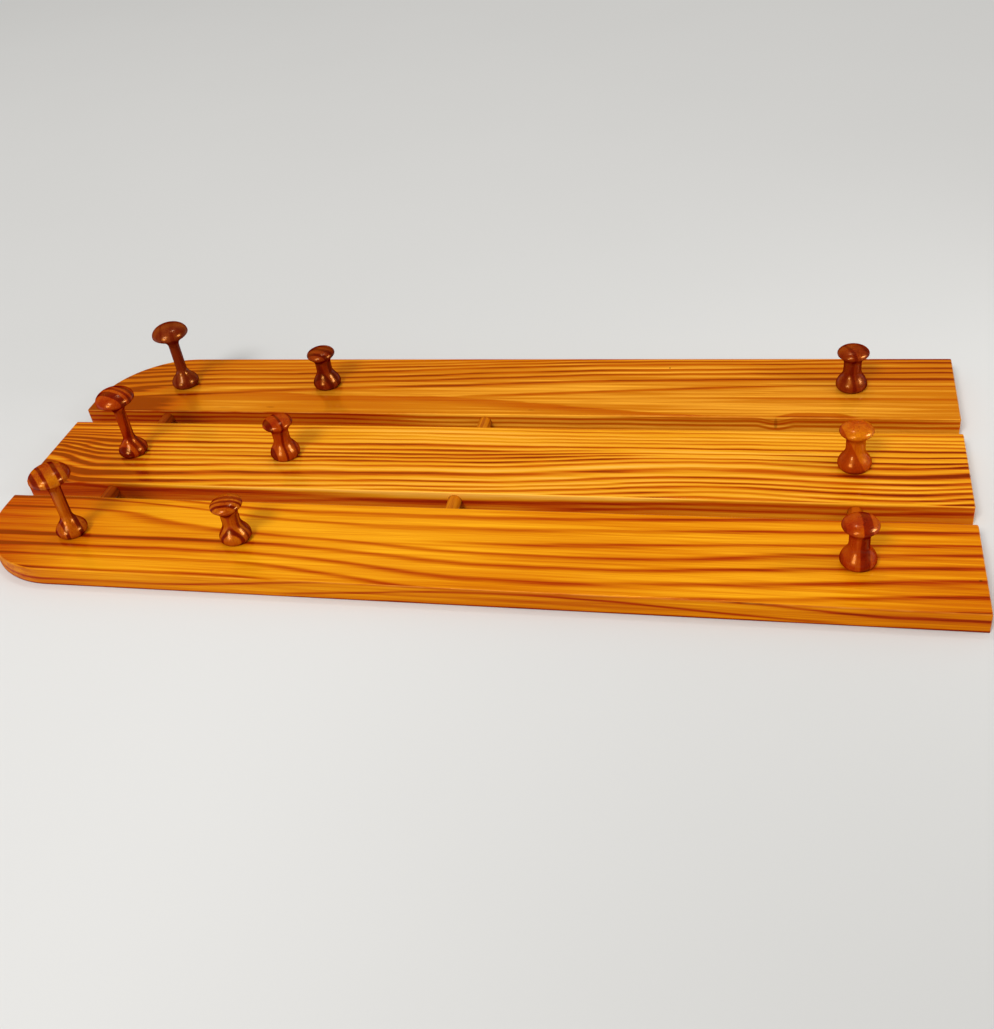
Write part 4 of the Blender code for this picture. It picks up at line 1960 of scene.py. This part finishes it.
BOARD_FINISHES = {
    Side.RIGHT: LacqueredPine(
        "lacquered_pine_right",
        light=(0.88, 0.400, 0.028),
        middle=(0.52, 0.157, 0.003),
        dark=(0.41, 0.068, 0.0004),
        grain=RIGHT_GRAIN,
        edge_painted_shade=0.40,
    ),
    Side.MIDDLE: LacqueredPine(
        "lacquered_pine_middle",
        light=(0.93, 0.460, 0.062),
        middle=(0.775, 0.333, 0.009),
        dark=(0.47, 0.074, 0.0005),
        grain=MIDDLE_GRAIN,
        edge_painted_shade=0.44,
    ),
    Side.LEFT: LacqueredPine(
        "lacquered_pine_left",
        light=(0.88, 0.395, 0.008),
        middle=(0.65, 0.200, 0.001),
        dark=(0.36, 0.027, 0.0003),
        grain=LEFT_GRAIN,
    ),
}

HAT_PEG = PegShape(
    neck_diameter=12.6 * MM,
    neck_height=54 * MM,
    flare_height=24 * MM,
    head_diameter=42.8 * MM,
    rim_height=70.5 * MM,
    crown=12 * MM,
    shoulder=0.36,
    taper=0.50,
)
COAT_PEG = PegShape(
    neck_diameter=18.4 * MM,
    neck_height=30 * MM,
    flare_height=23 * MM,
    head_diameter=32.8 * MM,
    rim_height=42 * MM,
    crown=7 * MM,
    shoulder=0.40,
    taper=0.46,
)
PEG_SHAPES = {PegRow.HAT: HAT_PEG, PegRow.UPPER: COAT_PEG, PegRow.LOWER: COAT_PEG}

RED_BROWN = ((0.44, 0.075, 0.0015), (0.285, 0.016, 0.0005), (0.12, 0.0008, 0.0002))
WARM_BROWN = ((0.53, 0.145, 0.0020), (0.285, 0.019, 0.0005), (0.12, 0.0008, 0.0002))
AMBER_BROWN = ((0.60, 0.175, 0.0020), (0.37, 0.040, 0.0006), (0.13, 0.0010, 0.0002))
DEEP_RED = ((0.24, 0.030, 0.0018), (0.135, 0.0045, 0.0006), (0.080, 0.0005, 0.0002))
MUTED_RED = ((0.22, 0.035, 0.0060), (0.130, 0.008, 0.0015), (0.085, 0.0015, 0.0004))

PEG_FINISHES = {
    (PegRow.HAT, Side.LEFT): LacqueredPeg(
        *WARM_BROWN,
        (
            RingBand(-19.2, -15.2, 0.85),
            RingBand(-9.0, -6.4, 0.90),
            RingBand(4.6, 8.4, 1.00),
            RingBand(14.8, 20.5, 0.45),
        ),
        turn=47.0,
    ),
    (PegRow.HAT, Side.MIDDLE): LacqueredPeg(
        *RED_BROWN,
        (
            RingBand(-18.6, -12.4, 1.00),
            RingBand(-7.9, -4.6, 0.80),
            RingBand(-0.6, 3.7, 0.85),
            RingBand(9.0, 12.0, 0.70),
        ),
        turn=78.0,
        tilt=-0.10,
    ),
    (PegRow.HAT, Side.RIGHT): LacqueredPeg(
        *MUTED_RED, (RingBand(-9.0, -7.0, 0.40), RingBand(3.0, 7.0, 0.25)), turn=20.0
    ),
    (PegRow.UPPER, Side.LEFT): LacqueredPeg(
        *WARM_BROWN,
        (RingBand(-13.4, -11.2, 1.00), RingBand(-7.0, -5.0, 0.80), RingBand(-1.6, 2.4, 0.70)),
        turn=100.0,
        tilt=-0.05,
    ),
    (PegRow.UPPER, Side.MIDDLE): LacqueredPeg(
        *RED_BROWN,
        (RingBand(-18.5, -13.6, 0.90), RingBand(-5.0, -3.0, 0.95), RingBand(8.0, 10.6, 0.70)),
        turn=44.0,
        tilt=-0.08,
    ),
    (PegRow.UPPER, Side.RIGHT): LacqueredPeg(
        *DEEP_RED,
        (RingBand(-12.2, -9.2, 1.00), RingBand(-3.8, 0.2, 0.85), RingBand(4.6, 6.8, 0.55)),
        turn=82.0,
    ),
    (PegRow.LOWER, Side.LEFT): LacqueredPeg(
        *RED_BROWN, (RingBand(-18.0, -14.5, 0.40), RingBand(-0.4, 7.6, 0.85)), turn=8.0, tilt=-0.02
    ),
    # Its one broad band is partly a growth ring and partly painted shade: it darkens the peg's left side and
    # base, away from the light on its right.
    (PegRow.LOWER, Side.MIDDLE): LacqueredPeg(
        *AMBER_BROWN, (RingBand(-30.0, 7.0, 0.40),), turn=15.0, tilt=0.45
    ),
    (PegRow.LOWER, Side.RIGHT): LacqueredPeg(
        *DEEP_RED, (RingBand(-6.8, -4.0, 0.60), RingBand(8.0, 10.5, 0.50)), turn=30.0
    ),
}

DOWEL_FINISHES = {
    # The upper row is painted much darker than the others: painted shade, for the shadow of the hat pegs'
    # heads over those dowels.
    DowelRow.UPPER: DowelWood((0.34, 0.048, 0.001), (0.10, 0.006, 0.0005)),
    DowelRow.CENTRE: DowelWood((0.60, 0.180, 0.003), (0.27, 0.038, 0.001)),
    DowelRow.LOWER: DowelWood((0.44, 0.080, 0.001), (0.22, 0.022, 0.0005)),
}
DOWEL_SEED_STEP = 37.0

WARM_LIGHT = (1.0, 0.93, 0.60)

STUDIO = Studio(
    lights=(
        SoftLight("front_light", (-2.20, -6.10, 6.90), 2.6, 545.0),
        SoftLight("right_light", (2.75, -0.15, 1.40), 1.0, 100.0, colour=WARM_LIGHT, only_mirrored=True),
        SoftLight("side_light", (1.25, -0.08, 0.68), 0.35, 0.7, target=(0.38, 0.05, 0.0), spread=75.0),
        SoftLight("low_light", (-1.35, -2.95, 1.25), 1.0, 90.0, colour=WARM_LIGHT, only_mirrored=True),
        SoftLight("top_light", (-0.20, 1.20, 3.80), 0.4, 16.0),
    ),
    viewpoint=Viewpoint(),
    floor=FloorPaint(),
    room=Room(walls=(0.55, 0.55, 0.55), mirrored=(0.30, 0.16, 0.03), glow=(1.20, 0.50, 0.02)),
)


def main() -> None:
    """Builds the rack piece by piece, then the studio."""
    logging.basicConfig(level=logging.INFO, format="%(name)s: %(message)s")
    tenon = PegTenon()
    hanger_cut = HangerCut()
    zinc = ZincPlating()
    for side in Side:
        Board(side, BOARD_FINISHES[side], tenon, hanger_cut).build()
    pegs = bpy.data.collections.new("pegs")
    for row, side in product(PegRow, Side):
        pegs.objects.link(Peg(row, side, PEG_SHAPES[row], PEG_FINISHES[row, side], tenon).build())
    for index, (dowel_row, side) in enumerate(product(DowelRow, OUTER_SIDES)):
        Dowel(dowel_row, side, DOWEL_FINISHES[dowel_row], index * DOWEL_SEED_STEP).build()
    for side in OUTER_SIDES:
        HangerPlate(side, zinc, hanger_cut).build()
        for end in ScrewEnd:
            HangerScrew(end, side, zinc).build()
    STUDIO.build(pegs)


if __name__ == "__main__":
    main()
